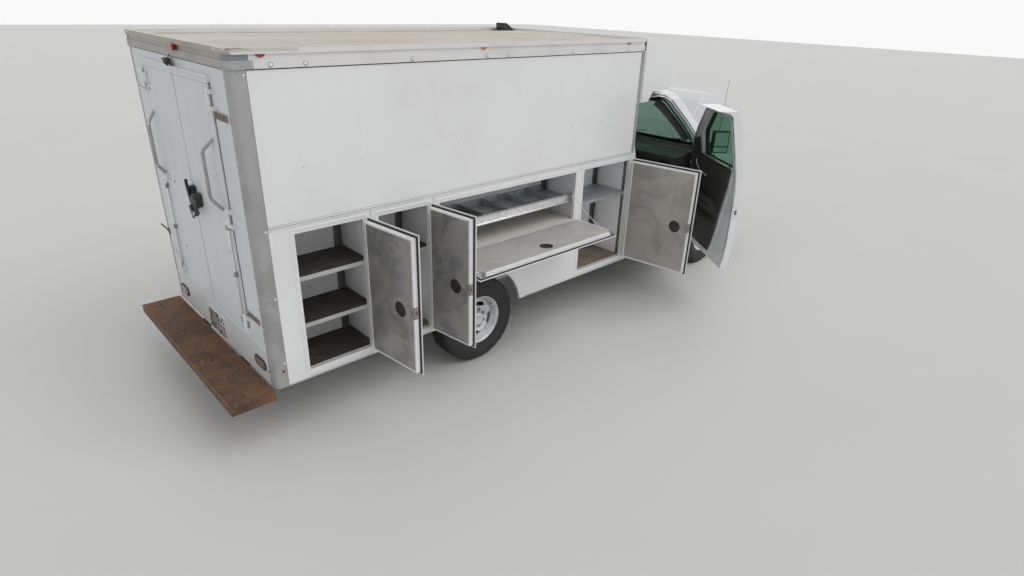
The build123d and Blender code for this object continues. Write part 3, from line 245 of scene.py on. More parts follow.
finishes = {}
whitePaint = {"colour": (0.83, 0.835, 0.845), "shade": (0.68, 0.675, 0.66), "mud": (0.40, 0.36, 0.31),
    "cloud": 0.9, "dirt": 0.30, "streak": 0.10, "height": 0.75, "splash": 0.35, "speck": 0.08,
    "rough": 0.24, "wave": 1.1, "coat": 0.35}
paints = {
    "boxWhite": {},
    "cabWhite": {"colour": (0.82, 0.83, 0.85), "rough": 0.14, "coat": 0.8, "dirt": 0.15, "wave": 3.0},
    # Rear and front faces: the box's white paint made darker and bluer as painted shade for faces
    # turned from the light, with heavier real streaks, specks and mud
    "rearWhite": {"colour": (0.73, 0.76, 0.79), "shade": (0.60, 0.62, 0.63), "streak": 0.35,
        "height": 0.9, "splash": 0.35, "speck": 0.3, "mud": (0.33, 0.27, 0.22), "rough": 0.36,
        "coat": 0.1},
    "caseWhite": {"colour": (0.54, 0.55, 0.52), "shade": (0.38, 0.375, 0.33), "cloud": 0.25,
        "dirt": 0.9, "streak": 0.4, "speck": 0.6, "mud": (0.16, 0.13, 0.10), "rough": 0.42,
        "coat": 0.0, "height": 1.6},
    "edgeWhite": {"colour": (0.84, 0.84, 0.85), "shade": (0.70, 0.69, 0.66), "cloud": 0.12,
        "dirt": 0.5, "streak": 0.25, "speck": 0.2, "rough": 0.35, "coat": 0.1, "height": 0.2}}
brushed = {"grain": 0.006, "along": (1, 1, 0.05), "smudge": 0.20, "dull": 0.9,
    "colour": (0.62, 0.62, 0.61), "shade": (0.33, 0.335, 0.35), "bright": (0.74, 0.73, 0.72),
    "stain": (0.22, 0.205, 0.19), "spot": 0.55, "rough": 0.28, "vary": 0.32, "metal": 0.85}
metals = {
    "doorInside": {"colour": (0.42, 0.41, 0.395), "shade": (0.19, 0.195, 0.21),
        "bright": (0.53, 0.515, 0.49)},
    # Front locker door: the same bare inner sheet tinted warmer and lighter as a painted warm glow
    "warmInside": {"colour": (0.47, 0.445, 0.41), "shade": (0.27, 0.265, 0.26),
        "bright": (0.60, 0.57, 0.53), "smudge": 0.34},
    "foldInside": {"along": (0.05, 1, 1), "colour": (0.56, 0.545, 0.52), "shade": (0.42, 0.40, 0.375),
        "bright": (0.64, 0.62, 0.59), "rough": 0.4, "smudge": 0.34},
    "upright": {"colour": (0.17, 0.17, 0.16), "shade": (0.10, 0.10, 0.095),
        "bright": (0.25, 0.25, 0.24), "rough": 0.4, "metal": 0.6, "smudge": 0.1},
    "railMetal": {"along": (0.04, 1, 1), "colour": (0.74, 0.74, 0.73), "shade": (0.56, 0.55, 0.53),
        "dull": 0.5, "smudge": 0.28, "spot": 0.3, "rough": 0.42, "metal": 0.55,
        "bright": (0.80, 0.80, 0.80)},
    "postMetal": {"colour": (0.40, 0.40, 0.405), "shade": (0.31, 0.30, 0.295),
        "bright": (0.47, 0.47, 0.47), "dull": 0.9, "rough": 0.48, "metal": 0.5, "smudge": 0.4},
    # Upper corner casting: blue-grey casting painted darker than the band below as shade in the
    # recessed rail channel
    "castMetal": {"colour": (0.27, 0.30, 0.335), "shade": (0.21, 0.235, 0.26),
        "bright": (0.34, 0.37, 0.40), "rough": 0.5, "metal": 0.5},
    "bandMetal": {"colour": (0.44, 0.455, 0.47), "shade": (0.34, 0.34, 0.34),
        "bright": (0.52, 0.535, 0.55), "rough": 0.5, "metal": 0.4},
    "galvanised": {"grain": 0.02, "along": (1, 1, 1), "smudge": 0.08, "colour": (0.42, 0.46, 0.48),
        "shade": (0.27, 0.30, 0.32), "bright": (0.56, 0.60, 0.62), "rough": 0.34, "metal": 0.8},
    "brightSteel": {"colour": (0.72, 0.72, 0.73), "shade": (0.55, 0.55, 0.56),
        "bright": (0.85, 0.85, 0.85), "rough": 0.2, "metal": 0.95, "smudge": 0.05},
    "rimSilver": {"along": (1, 1, 1), "colour": (0.62, 0.63, 0.65), "shade": (0.46, 0.46, 0.46),
        "bright": (0.72, 0.72, 0.73), "rough": 0.34, "metal": 0.6, "stain": (0.16, 0.13, 0.11),
        "spot": 0.6}}

blackPlastic = {"colour": (0.022, 0.022, 0.024), "shade": (0.06, 0.058, 0.055),
    "light": (0.035, 0.035, 0.036), "grain": 0.0025, "cloud": 0.3, "dust": 0.5, "rough": 0.42,
    "depth": 0.0005}
mouldings = {
    "blackPlastic": {},
    "trimGrey": {"colour": (0.045, 0.043, 0.040), "shade": (0.075, 0.07, 0.065), "leather": True,
        "light": (0.06, 0.058, 0.054)},
    "carpet": {"colour": (0.018, 0.018, 0.019), "grain": 0.004, "depth": 0.002, "rough": 0.8},
    "rubber": {"colour": (0.014, 0.014, 0.015), "rough": 0.55},
    "shelfMat": {"colour": (0.035, 0.028, 0.024), "shade": (0.10, 0.085, 0.07), "dust": 0.7,
        "cloud": 0.16, "rough": 0.7, "grain": 0.006, "depth": 0.0012},
    "tanFloor": {"colour": (0.20, 0.165, 0.12), "shade": (0.10, 0.075, 0.055),
        "light": (0.28, 0.24, 0.19), "dust": 0.9, "cloud": 0.12, "rough": 0.6, "grain": 0.008,
        "depth": 0.001},
    "tyreBlack": {"colour": (0.018, 0.018, 0.019), "shade": (0.05, 0.047, 0.043), "rough": 0.6,
        "grain": 0.003, "cloud": 0.12},
    "frameBlack": {"colour": (0.03, 0.029, 0.028), "shade": (0.11, 0.085, 0.062), "dust": 0.8,
        "cloud": 0.18, "rough": 0.6, "grain": 0.01, "depth": 0.001},
    "axleIron": {"colour": (0.07, 0.058, 0.05), "shade": (0.16, 0.09, 0.05),
        "light": (0.10, 0.085, 0.07), "dust": 0.9, "cloud": 0.12, "rough": 0.65, "grain": 0.006,
        "depth": 0.002, "metal": 0.3},
    "strapIron": {"colour": (0.20, 0.165, 0.14), "shade": (0.13, 0.09, 0.065),
        "light": (0.30, 0.26, 0.225), "dust": 0.9, "cloud": 0.05, "rough": 0.65, "grain": 0.004,
        "depth": 0.001, "metal": 0.2},
    "hotSteel": {"colour": (0.25, 0.21, 0.18), "shade": (0.14, 0.085, 0.05),
        "light": (0.34, 0.30, 0.27), "dust": 0.9, "cloud": 0.2, "rough": 0.4, "metal": 0.7},
    "rustyIron": {"colour": (0.20, 0.10, 0.055), "shade": (0.10, 0.055, 0.035),
        "light": (0.34, 0.20, 0.11), "dust": 1.0, "cloud": 0.03, "rough": 0.7, "grain": 0.004,
        "depth": 0.0015, "metal": 0.2},
    "latchZinc": {"colour": (0.30, 0.28, 0.26), "shade": (0.17, 0.12, 0.09),
        "light": (0.42, 0.40, 0.38), "dust": 1.0, "cloud": 0.018, "rough": 0.45, "grain": 0.004,
        "depth": 0.0006, "metal": 0.5},
    "sealPale": {"colour": (0.52, 0.53, 0.54), "shade": (0.36, 0.36, 0.355),
        "light": (0.60, 0.61, 0.62), "rough": 0.35},
    "creamFloor": {"colour": (0.62, 0.59, 0.53), "shade": (0.40, 0.35, 0.29),
        "light": (0.70, 0.68, 0.63), "dust": 0.6, "cloud": 0.16, "rough": 0.5, "grain": 0.01,
        "depth": 0.0004}}
for make, base, looks in ((paintFinish, whitePaint, paints), (metalFinish, brushed, metals),
        (plainFinish, blackPlastic, mouldings)):
    for name, look in looks.items():
        finishes[name] = make(name, {**base, **look})


def railFinish():  # top rail: pale along the sides, khaki and grey across the rear
    f = Finish("topRail")
    clouds, fine = f.noise(0.35, 4, 0.6), f.noise(0.02, 5, 0.65)
    side = f.mix(clouds.steps(0.45, 0.75) * 0.5, (0.74, 0.735, 0.73), (0.60, 0.585, 0.56))
    upper = f.mix(clouds.steps(0.4, 0.7) * 0.6, (0.42, 0.39, 0.34), (0.33, 0.30, 0.26))
    lower = f.mix(clouds.steps(0.4, 0.7) * 0.6, (0.40, 0.395, 0.38), (0.33, 0.325, 0.31))
    back = f.mix((f.z - 2.569).steps(0.0, 0.001), lower, upper)
    colour = f.mix((place(-1790, 0, 0).x - f.x).steps(0.0, 0.001), side, back)
    colour = f.mix(fine.steps(0.62, 0.75) * 0.3, colour, (0.28, 0.25, 0.21))
    return f.wrap(Base_Color=colour, Metallic=0.3, Roughness=0.42 + clouds * 0.15,
                  Normal=f.bump(fine * 0.0003 + clouds * 0.003, 0.4, 0.5))


def plateFinish():  # rear step plate: brown rust over old paint, dark patches, scratches
    f = Finish("stepRust")
    broad, fine = f.noise(0.35, 5, 0.62, warp=0.8), f.noise(0.03, 6, 0.7)
    scratch = f.noise(0.02, 4, 0.6, f.stretch(1.0, 0.15, 1.0))
    colour = f.mix(broad.steps(0.35, 0.65), (0.075, 0.042, 0.028), (0.17, 0.085, 0.042))
    colour = f.mix(fine.steps(0.52, 0.72) * 0.6, colour, (0.27, 0.135, 0.06))
    colour = f.mix(scratch.steps(0.62, 0.72) * 0.55, colour, (0.30, 0.23, 0.17))
    colour = f.mix(f.noise(0.1, 4, 0.7).steps(0.6, 0.72) * 0.7, colour, (0.04, 0.027, 0.022))
    return f.wrap(Base_Color=colour, Roughness=0.52 + broad * 0.3, Metallic=0.15 + scratch * 0.1,
                  Normal=f.bump(fine * 0.7 + broad, 0.004, 0.7))


def roofFinish():  # sheet roof, warm grime in long drifts, cross seams
    f = Finish("roofSheet")
    drift, fine = f.noise(0.8, 5, 0.6, f.stretch(0.4, 1, 1), 0.5), f.noise(0.04, 5, 0.65)
    colour = f.mix(drift.steps(0.35, 0.7), (0.64, 0.595, 0.545), (0.53, 0.47, 0.415))
    colour = f.mix(fine.steps(0.55, 0.8) * 0.4, colour, (0.42, 0.355, 0.30))
    seam = 1 - (f.x + 0.35).wave(1.22).steps(0.0, 0.02)
    colour = f.mix(seam * 0.45, colour, (0.30, 0.27, 0.24))
    return f.wrap(Base_Color=colour, Roughness=0.5 + fine * 0.2,
                  Normal=f.bump(f.noise(0.6, 2) * 0.01 + fine * 0.0004 - seam * 0.002, 0.8, 0.6))


def glassFinish(name, tint, body):  # tinted see-through body under a shiny skin with faint smears
    f = Finish(name)
    smear = f.noise(0.25, 4, 0.6)
    skin = f.add("ShaderNodeBsdfPrincipled", {}, {"Base Color": (0.03, 0.06, 0.05),
        "Roughness": 0.03 + smear.steps(0.5, 0.9) * 0.06, "IOR": 1.5}, "BSDF")
    through = f.add("ShaderNodeBsdfTransparent", {}, {"Color": tint}, "BSDF")
    f.add_output(f.add("ShaderNodeMixShader", {}, {0: body + smear.steps(0.4, 0.9) * 0.05, 1: through,
        2: skin}, "Shader"))
    return f.material


def lensFinish(name, tint, alpha, pitch):  # moulded ribs in a lamp lens
    f = Finish(name)
    ribs = f.y.wave(pitch) + f.z.wave(pitch)
    return f.wrap(Base_Color=f.mix(ribs * 0.3, tint, tuple(c * 0.6 for c in tint)),
        Roughness=0.08 + ribs * 0.06, Alpha=alpha + ribs * 0.05, Normal=f.bump(ribs, 0.0015, 0.7),
        Coat_Weight=0.6)


def mirrorFinish():
    f = Finish("mirrorGlass")
    dust = f.noise(0.05, 4, 0.6)
    return f.wrap(Base_Color=f.mix(dust.steps(0.5, 0.9), (0.78, 0.82, 0.80), (0.6, 0.62, 0.6)),
                  Metallic=0.95, Roughness=0.04 + dust.steps(0.4, 0.9) * 0.1)


def clothFinish():  # woven seat cover, dark charcoal
    f = Finish("seatCloth")
    weave = f.x.wave(0.004) * f.y.wave(0.004) + f.z.wave(0.004) * 0.6
    patch = f.noise(0.2, 4, 0.6)
    colour = f.mix(patch.steps(0.4, 0.8), (0.040, 0.040, 0.043), (0.075, 0.072, 0.070))
    return f.wrap(Base_Color=f.mix(weave * 0.4, colour, (0.10, 0.098, 0.095)),
        Roughness=0.85 + patch * 0.1, Sheen_Weight=0.3, Normal=f.bump(weave, 0.0008, 0.6))


finishes["mirrorGlass"] = mirrorFinish()
finishes["stepRust"] = plateFinish()
finishes["topRail"] = railFinish()
finishes["roofSheet"] = roofFinish()
finishes["greenGlass"] = glassFinish("greenGlass", (0.42, 0.60, 0.51), 0.16)
finishes["screenGlass"] = glassFinish("screenGlass", (0.56, 0.70, 0.63), 0.14)
finishes["redLens"] = lensFinish("redLens", (0.30, 0.010, 0.012), 0.95, 0.008)
finishes["brownLens"] = lensFinish("brownLens", (0.32, 0.22, 0.20), 0.95, 0.008)
finishes["clearLens"] = lensFinish("clearLens", (0.62, 0.64, 0.65), 0.35, 0.012)
finishes["amberLens"] = lensFinish("amberLens", (0.60, 0.18, 0.02), 0.9, 0.008)
finishes["seatCloth"] = clothFinish()
print("finishes made:", len(finishes))


def circle(count, shift=0.0):  # cosine and sine at equal steps round a circle
    angles = [2 * math.pi * (k + shift) / count for k in range(count)]
    return [(math.cos(t), math.sin(t)) for t in angles]


def span(way, low, high):  # a range on the left (1) or on the right (-1) of the middle
    return sorted((way * low, way * high))


class Piece:  # plain forms gathered into one mesh, in truck millimetres
    def __init__(self, frame=None):
        self.mesh, self.kinds, self.now = bmesh.new(), [], 0
        self.frame = Matrix() if frame is None else frame

    def use(self, finish):
        if finish not in self.kinds:
            self.kinds.append(finish)
        self.now = self.kinds.index(finish)
        return self

    def face(self, corners, smooth=False):
        made = self.mesh.faces.new(corners)
        made.material_index, made.smooth = self.now, smooth
        return made

    def points(self, rows):
        return [self.mesh.verts.new(self.frame @ Vector(p)) for p in rows]

    def box(self, x, y, z):
        v = self.points([(a, b, c) for a in x for b in y for c in z])
        for ring in ((0, 1, 3, 2), (4, 6, 7, 5), (0, 4, 5, 1), (2, 3, 7, 6), (0, 2, 6, 4),
                (1, 5, 7, 3)):
            self.face([v[i] for i in ring])
        return self

    def prism(self, outline, axis, low, high):  # outline in the two other axes, in order
        def lift(p, level):
            row = list(p)
            row.insert("xyz".index(axis), level)
            return row
        near, far = self.points([lift(p, low) for p in outline]), self.points([lift(p, high)
            for p in outline])
        self.face(near[::-1])
        self.face(far)
        for i in range(len(outline)):
            k = (i + 1) % len(outline)
            self.face([near[i], near[k], far[k], far[i]])
        return self

    def tube(self, path, radius, sides=10, closed=False):  # radius may be a list, one for each point
        path = [Vector(p) for p in path]
        count = len(path)
        radii = radius if isinstance(radius, (list, tuple)) else [radius] * count
        rings, across = [], None
        for i, p in enumerate(path):
            before = path[(i - 1) % count] if closed or i else p
            after = path[(i + 1) % count] if closed or i < count - 1 else p
            along = (after - before).normalized()
            if across is None:
                across = along.orthogonal().normalized()
            across = (across - along * across.dot(along)).normalized()
            other = along.cross(across)
            rings.append(self.points([p + radii[i] * (c * across + s * other)
                for c, s in circle(sides)]))
        for i in range(count if closed else count - 1):
            a, b = rings[i], rings[(i + 1) % count]
            for k in range(sides):
                self.face([a[k], a[(k + 1) % sides], b[(k + 1) % sides], b[k]], True)
        if not closed:
            self.face(rings[0][::-1])
            self.face(rings[-1])
        return self

    def lathe(self, profile, centre, axis, sides=32):  # profile of (radius, along) points
        centre, along = Vector(centre), Vector(axis).normalized()
        across = along.orthogonal().normalized()
        other = along.cross(across)
        rings = []
        for radius, height in profile:
            middle = centre + height * along
            rim = [middle + radius * (c * across + s * other) for c, s in circle(sides)]
            rings.append(self.points(rim) if radius else self.points([middle]) * sides)
        for a, b in zip(rings[:-1], rings[1:]):
            for k in range(sides):
                n = (k + 1) % sides
                loop = list(dict.fromkeys([a[k], a[n], b[n], b[k]]))
                if len(loop) > 2:
                    self.face(loop, True)
        return self

    def dome(self, centre, axis, radius, height):  # a rivet or bolt head
        return self.lathe([(radius, 0), (radius * 0.95, height * 0.45), (radius * 0.6, height * 0.9),
                           (0, height)], centre, axis, 10)

    def hexagon(self, centre, axis, radius, height):
        return self.lathe([(radius, 0), (radius, height * 0.8), (radius * 0.85, height), (0, height)],
                          centre, axis, 6)

    def ring(self, a, b, width, axis, low, high):  # four bars round a rectangle, mitred at the corners
        (a0, a1), (b0, b1) = a, b
        outer = [(a0 - width, b0 - width), (a1 + width, b0 - width), (a1 + width, b1 + width),
            (a0 - width, b1 + width)]
        inner = [(a0, b0), (a1, b0), (a1, b1), (a0, b1)]
        for i in range(4):
            k = (i + 1) % 4
            self.prism([outer[i], outer[k], inner[k], inner[i]], axis, low, high)
        return self

    def holed(self, a, b, centre, radius, level, sides=36):  # a sheet across y with a round hole
        (a0, a1), (b0, b1), (ca, cb) = a, b, centre
        angles = [2 * math.pi * k / sides for k in range(sides)]
        angles += [math.atan2(y - cb, x - ca) % (2 * math.pi) for x in a for y in b]
        angles = sorted(set(angles))
        inner, outer = [], []
        for t in angles:
            c, s = math.cos(t), math.sin(t)
            reach = min([(a1 - ca) / c if c > 1e-9 else (a0 - ca) / c if c < -1e-9 else 1e9,
                         (b1 - cb) / s if s > 1e-9 else (b0 - cb) / s if s < -1e-9 else 1e9])
            inner.append((ca + radius * c, level, cb + radius * s))
            outer.append((ca + reach * c, level, cb + reach * s))
        self.loft([inner, outer], False)

    def grid(self, rows, smooth=True):  # a sheet through rows of points
        lines = [self.points(row) for row in rows]
        for a, b in zip(lines[:-1], lines[1:]):
            for k in range(len(a) - 1):
                self.face([a[k], a[k + 1], b[k + 1], b[k]], smooth)
        return self

    def loft(self, rings, smooth=True):  # a band through closed rings of points
        rings = [self.points(ring) for ring in rings]
        for a, b in zip(rings[:-1], rings[1:]):
            for k in range(len(a)):
                n = (k + 1) % len(a)
                self.face([a[k], a[n], b[n], b[k]], smooth)
        return rings

    def build(self, name):
        mesh = bpy.data.meshes.new(name)
        bmesh.ops.recalc_face_normals(self.mesh, faces=self.mesh.faces)
        self.mesh.to_mesh(mesh)
        self.mesh.free()
        mesh.transform(placing)
        obj = bpy.data.objects.new(name, mesh)
        bpy.context.scene.collection.objects.link(obj)
        return obj

    def done(self, name, body, bevel=0.0):
        obj = self.build(name)
        for kind in self.kinds:
            obj.data.materials.append(finishes[kind])
        if bevel:
            soft = obj.modifiers.new("edges", "BEVEL")
            soft.width, soft.segments, soft.limit_method = bevel / 1000, 2, "ANGLE"
            soft.angle_limit = math.radians(40)
        if body:
            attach(obj, body)
        return obj


def dress(finish, names):
    for name in names:
        mesh = frame["nodes"][name].data
        mesh.materials.clear()
        mesh.materials.append(finishes[finish])


nodeFinish = {
    "boxWhite": ["side_panels", "locker_right", "locker_left", "nose_cone"],
    "cabWhite": ["cab_shell", "wings", "hood", "cab_door_right", "cab_door_left"],
    "rearWhite": ["rear_frame", "rear_door_right", "rear_door_left", "front_wall"],
    "topRail": ["top_rail"], "postMetal": ["corner_posts"], "roofSheet": ["roof"],
    "galvanised": ["shelves", "box_floor"], "stepRust": ["rear_bumper"], "redLens": ["rear_lamps"],
    "frameBlack": ["chassis_frame", "fuel_tank", "seat_bases"],
    "axleIron": ["rear_axle", "front_suspension", "knuckle_left", "knuckle_right", "propeller_shaft",
        "engine"],
    "hotSteel": ["exhaust"], "trimGrey": ["dashboard"], "carpet": ["cab_floor"],
    "blackPlastic": ["grille", "front_bumper", "roof_vent", "steering_wheel"],
    "greenGlass": ["cab_glass_right", "cab_glass_left"], "screenGlass": ["windscreen"],
    "clearLens": ["headlamps"], "seatCloth": ["seats"],
    "tyreBlack": ["tyre_" + end + side for end in ("front_", "rear_") for side in ("left", "right")],
    "rimSilver": ["rim_" + end + side for end in ("front_", "rear_") for side in ("left", "right")],
    "doorInside": [f"locker_door_{s}_{n}" for s in ("left", "right") for n in ("rear", "narrow",
        "front")],
    "foldInside": ["locker_door_left_long", "locker_door_right_long"]}
for kind, names in nodeFinish.items():
    dress(kind, names)


# Directions and planes on the right-hand side: outer face of the lockers, rear face of the box
ahead, behind, above, below = (1, 0, 0), (-1, 0, 0), (0, 0, 1), (0, 0, -1)
outward, inward = (0, -1, 0), (0, 1, 0)
sideFace, backFace = -983, -1813
frontAxle, wheelHeight = 3600, 382
steering = {"hub": Vector((2760, 470, 1325)), "lean": math.radians(32)}

# Lockers, right-hand side, as closed: low x, high x, bottom, top of each opening
lockers = {"rear": (-1560, -1065, 523, 1527), "narrow": (-945, -527, 505, 1523),
           "long": (-417, 1120, 1072, 1519), "front": (1228, 1902, 518, 1525)}
doorStop = {"rear": 96, "narrow": 97, "long": 90, "front": 98}
door = {"lap": 18, "skin": -994, "face": -984, "back": -950, "gap": 6, "hole": 58, "pin": 7, "band": 30,
        "cup": 19, "knuckle": 62, "edge": 13}
sideFrame = {"right": Matrix(), "left": Matrix.Diagonal((1, -1, 1, 1))}


def bothSides(make):
    for side in ("right", "left"):
        make(side)


def about(point, axis, degrees):
    point = Vector(point)
    spin = Matrix.Rotation(math.radians(degrees), 4, axis)
    return Matrix.Translation(point) @ spin @ Matrix.Translation(-point)


def lockerDoor(side, name):  # outer skin, seal, white edge band, bare inner sheet, latch and handle
    low, high, bottom, top = lockers[name]
    lap, gap, face, back = door["lap"], door["gap"], door["face"], door["back"]
    fold = name == "long"
    p = Piece()
    if side == "left":
        p.frame = sideFrame["left"]
    elif fold:
        p.frame = about((0, -995, bottom - 25), "X", doorStop[name])
    else:
        p.frame = about((high + 25, -995, 0), "Z", doorStop[name])
    p.use("boxWhite").box((low - lap, high + lap), (door["skin"], -990), (bottom - lap, top + lap))
    x, z = (low + gap, high - gap), (bottom + gap, top - gap)
    p.use("rubber").ring(x, z, lap + gap - 10, "y", -989.9, face)

    def within(margin):
        return (x[0] + margin, x[1] - margin), (z[0] + margin, z[1] - margin)
    p.use("edgeWhite").ring(*within(door["band"]), door["band"], "y", face, back)
    # The front door's sheet is tinted warmer and lighter as painted warm light
    metal = "foldInside" if fold else "warmInside" if name == "front" else "doorInside"
    holeX = (low + high) / 2 + 30 if fold else low + 150
    holeZ = top - 115 if fold else (bottom + top) / 2 - 45
    sheet, edge, hole = back + 1.2, door["edge"], door["hole"]
    p.use(metal).holed(*within(edge), (holeX, holeZ), hole, sheet)
    p.ring(*within(edge + 1), 1, "y", back, sheet)
    p.use("shelfMat").lathe([(hole, 0), (hole - 1, -4), (hole - 3, -door["cup"]), (0, -door["cup"])],
        (holeX, sheet, holeZ), inward, 36)
    rim = [(holeX + hole * c, sheet, holeZ + hole * s) for c, s in circle(36)]
    p.use(metal).tube(rim, 1.6, 6, closed=True)
    # Latch bracket over the free edge, with its bolt and screws
    if fold:
        for cx in (low + 30, high - 30):
            p.use("latchZinc").box((cx - 22, cx + 22), (-978, back + 2.5), (z[1], z[1] + 2))
            p.box((cx - 22, cx + 22), (back + 1, back + 3), (z[1] - 34, z[1] + 2))
            p.use("rustyIron").box((cx - 7, cx + 7), (-970, back - 2), (z[1] + 1, z[1] + 3.4))
            for sx in (-14, 14):
                p.use("brightSteel").dome((cx + sx, back + 3, z[1] - 24), inward, 3.2, 2)
    else:
        cz = holeZ + 12
        p.use("latchZinc").box((x[0] - 2, x[0]), (-979, back + 2.5), (cz - 44, cz + 44))
        p.box((x[0] - 2, x[0] + 40), (back + 1, back + 3), (cz - 44, cz + 44))
        p.use("rustyIron").box((x[0] - 3.4, x[0] - 1), (-972, -955), (cz - 11, cz + 11))
        p.use("rubber").lathe([(0, 0), (4.5, 0), (4.5, 0.8), (0, 0.8)], (x[0] + 15, back + 3, cz + 2),
            inward, 12)
        for sz in (-28, 28):
            p.use("brightSteel").dome((x[0] + 18, back + 3, cz + sz), inward, 3.4, 2.2)
            p.dome((x[0] - 2, -968, cz + sz), behind, 3.2, 1.4)
    # Paddle handle on the outer face
    hx, hz = ((holeX - 70, holeX + 70), (holeZ - 32, holeZ + 32)) if fold else (
        (low + 117, low + 183), (holeZ - 70, holeZ + 70))
    p.use("brightSteel").ring((hx[0] + 6, hx[1] - 6), (hz[0] + 6, hz[1] - 6), 6, "y", -1000.5, -994)
    p.use("blackPlastic").box((hx[0] + 6, hx[1] - 6), (-996, -994), (hz[0] + 6, hz[1] - 6))
    midX, midZ = sum(hx) / 2, sum(hz) / 2
    if fold:
        p.box((hx[0] + 16, hx[1] - 46), (-1000, -996), (midZ - 18, midZ + 18))
        lock = (hx[1] - 26, -996, midZ)
    else:
        p.box((midX - 18, midX + 18), (-1000, -996), (hz[0] + 46, hz[1] - 16))
        lock = (midX, -996, hz[0] + 26)
    p.use("brightSteel").lathe([(10, 0), (10, 3), (7, 4), (0, 4)], lock, outward, 16)
    # Hinge: knuckles on a pin along the edge, and the leaf
    step = door["knuckle"]
    start, end = (low - 8, high + 8) if fold else (bottom - 8, top + 8)
    p.use("railMetal")
    for i in range(int((end - start) // step)):
        a, b = start + i * step + 1, start + (i + 1) * step - 3
        line = [(a, -995, bottom - 25), (b, -995, bottom - 25)] if fold else [
            (high + 25, -995, a), (high + 25, -995, b)]
        p.tube(line, door["pin"], 12)
    leaf = ((low - 6, high + 6), (bottom - 25, bottom - 6)) if fold else (
        (high + 6, high + 25), (bottom - 6, top + 6))
    p.box(leaf[0], (-996.4, -993.6), leaf[1])
    body = "locker_door_" + side + "_" + name
    obj = p.done("lockerDoor_" + side + "_" + name, body, 1.0)
    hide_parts(body)


for side in ("right", "left"):
    for name in lockers:
        lockerDoor(side, name)
print("locker doors made")


def lockerFrames(side):  # frames round the openings, sills, linings and the rub rail
    p = Piece(sideFrame[side])
    for name, (low, high, bottom, top) in lockers.items():
        p.use("boxWhite").ring((low - 20, high + 20), (bottom - 20, top + 20), 11, "y", -987, sideFace)
        p.use("railMetal").ring((low, high), (bottom, top), -1.6, "y", -983.4, -953)
    for level, thick in ((1590, 3.0), (1602, 1.6)):
        p.use("rubber").box((-1720, 1966), (-983.8, sideFace), (level - thick / 2, level + thick / 2))
    p.use("boxWhite").tube([(-1716, -986.5, 1596), (1962, -986.5, 1596)], 4.2, 8)
    for low, high in ((-1600, -1005), (-985, -487), (1188, 1942)):  # grooved sill strips
        for level in (472, 481, 490):
            p.use("boxWhite").tube([(low, -984.5, level), (high, -984.5, level)], 3.2, 8)
    for low, high in ((-1720, -520), (520, 1966)):
        p.use("rubber").box((low, high), (-983.6, sideFace), (462, 464.5))
    for x in (-1005, -472, 1174):  # joints between the face panels
        p.use("rubber").box((x - 1.2, x + 1.2), (-983.7, sideFace), (1530, 1586))
    for x in (-1636, 1174, 1944):
        for z in (620, 980, 1340):
            p.use("boxWhite").dome((x, sideFace, z), outward, 5, 2)
    arch = [(468 * c, -983.5, wheelHeight + 468 * s) for c, s in circle(56)[:29]]
    p.use("edgeWhite").tube([point for point in arch if point[2] > 459], 3.5, 8)
    p.done("lockerFrames_" + side, "chassis", 0.6)


bothSides(lockerFrames)

caseSpan = {"rear": (-1600, -1015), "narrow": (-995, -482), "long": (-462, 1164), "front": (1184, 1921)}
shelves = {"rear": (858, 1204), "narrow": (1180,), "front": (1196,), "long": ()}
floorFinish = {"rear": "shelfMat", "narrow": "tanFloor", "long": "creamFloor", "front": "tanFloor"}
case = {"back": -573, "strip": 52, "mat": 3}


def lockerInside(side):  # mats and lips on the shelves, floors, uprights, holes and screws
    p = Piece(sideFrame[side])
    back, strip = case["back"], case["strip"]
    random.seed(7)
    for name, (low, high, bottom, top) in lockers.items():
        start, end = caseSpan[name]
        p.use(floorFinish[name]).box((start + 3, end - 3), (-944, back - 3), (bottom, bottom + 2.5))
        for level in shelves[name]:
            mat = "galvanised" if name == "front" else "shelfMat"
            p.use(mat).box((start + 4, end - 4), (-943, back - 4), (level, level + case["mat"]))
            p.use("caseWhite" if name != "front" else "galvanised").box(
                (start + 2, end - 2), (-947.4, -944.6), (level - 27, level + 4))
        # Slotted upright in the corner ahead
        x0, x1 = end - 20 - strip, end - 20
        p.use("upright").box((x0, x1), (back - 3, back), (bottom + 3, 1568))
        p.box((x1 - 3, x1), (back - 26, back - 3), (bottom + 3, 1568))
        p.use("rubber")
        for z in range(bottom + 40, 1540, 32):
            p.box(((x0 + x1) / 2 - 2, (x0 + x1) / 2 + 2), (back - 3.6, back - 3), (z, z + 14))
        if name in ("front", "narrow"):
            p.use("upright").box((end - 3, end), (-944, -905), (bottom + 3, 1566))
        for _ in range(7):
            x, z = random.uniform(start + 40, end - 120), random.uniform(bottom + 50, 1500)
            p.use("rubber").lathe([(0, 0.4), (random.uniform(2, 4.5), 0.4), (2, 0), (0, 0)],
                (x, back - 0.2, z), outward, 10)
        for z in (bottom + 60, 1480):
            p.use("brightSteel").dome((start + 30, back, z), outward, 4, 2)
    # Tool tray of the long locker: mats in the bins, slotted front lip, rolled edge
    start, end = caseSpan["long"]
    front, level = -919, 1262
    pitch = (end - start) / 6
    for k in (0, 1):
        p.use("shelfMat").box((start + k * pitch + 5, start + (k + 1) * pitch - 5),
            (front + 5, back - 6), (level + 3, level + 6))
    p.use("brightSteel").box((start + 2, end - 2), (front - 1.5, front), (level - 24, level + 44))
    p.use("rubber")
    for x in range(start + 10, end - 14, 17):
        p.box((x, x + 7), (front - 2.1, front + 3.4), (level + 30, level + 42.5))
    p.use("brightSteel").tube([(start + 2, front - 9, level - 26), (end - 2, front - 9, level - 26)],
        10, 12)
    for k in range(1, 6):
        x = start + k * pitch
        p.use("galvanised").tube([(x, front + 4, level + 53), (x, back - 4, level + 53)], 3, 8)
    p.done("lockerInside_" + side, "chassis", 0.5)


bothSides(lockerInside)

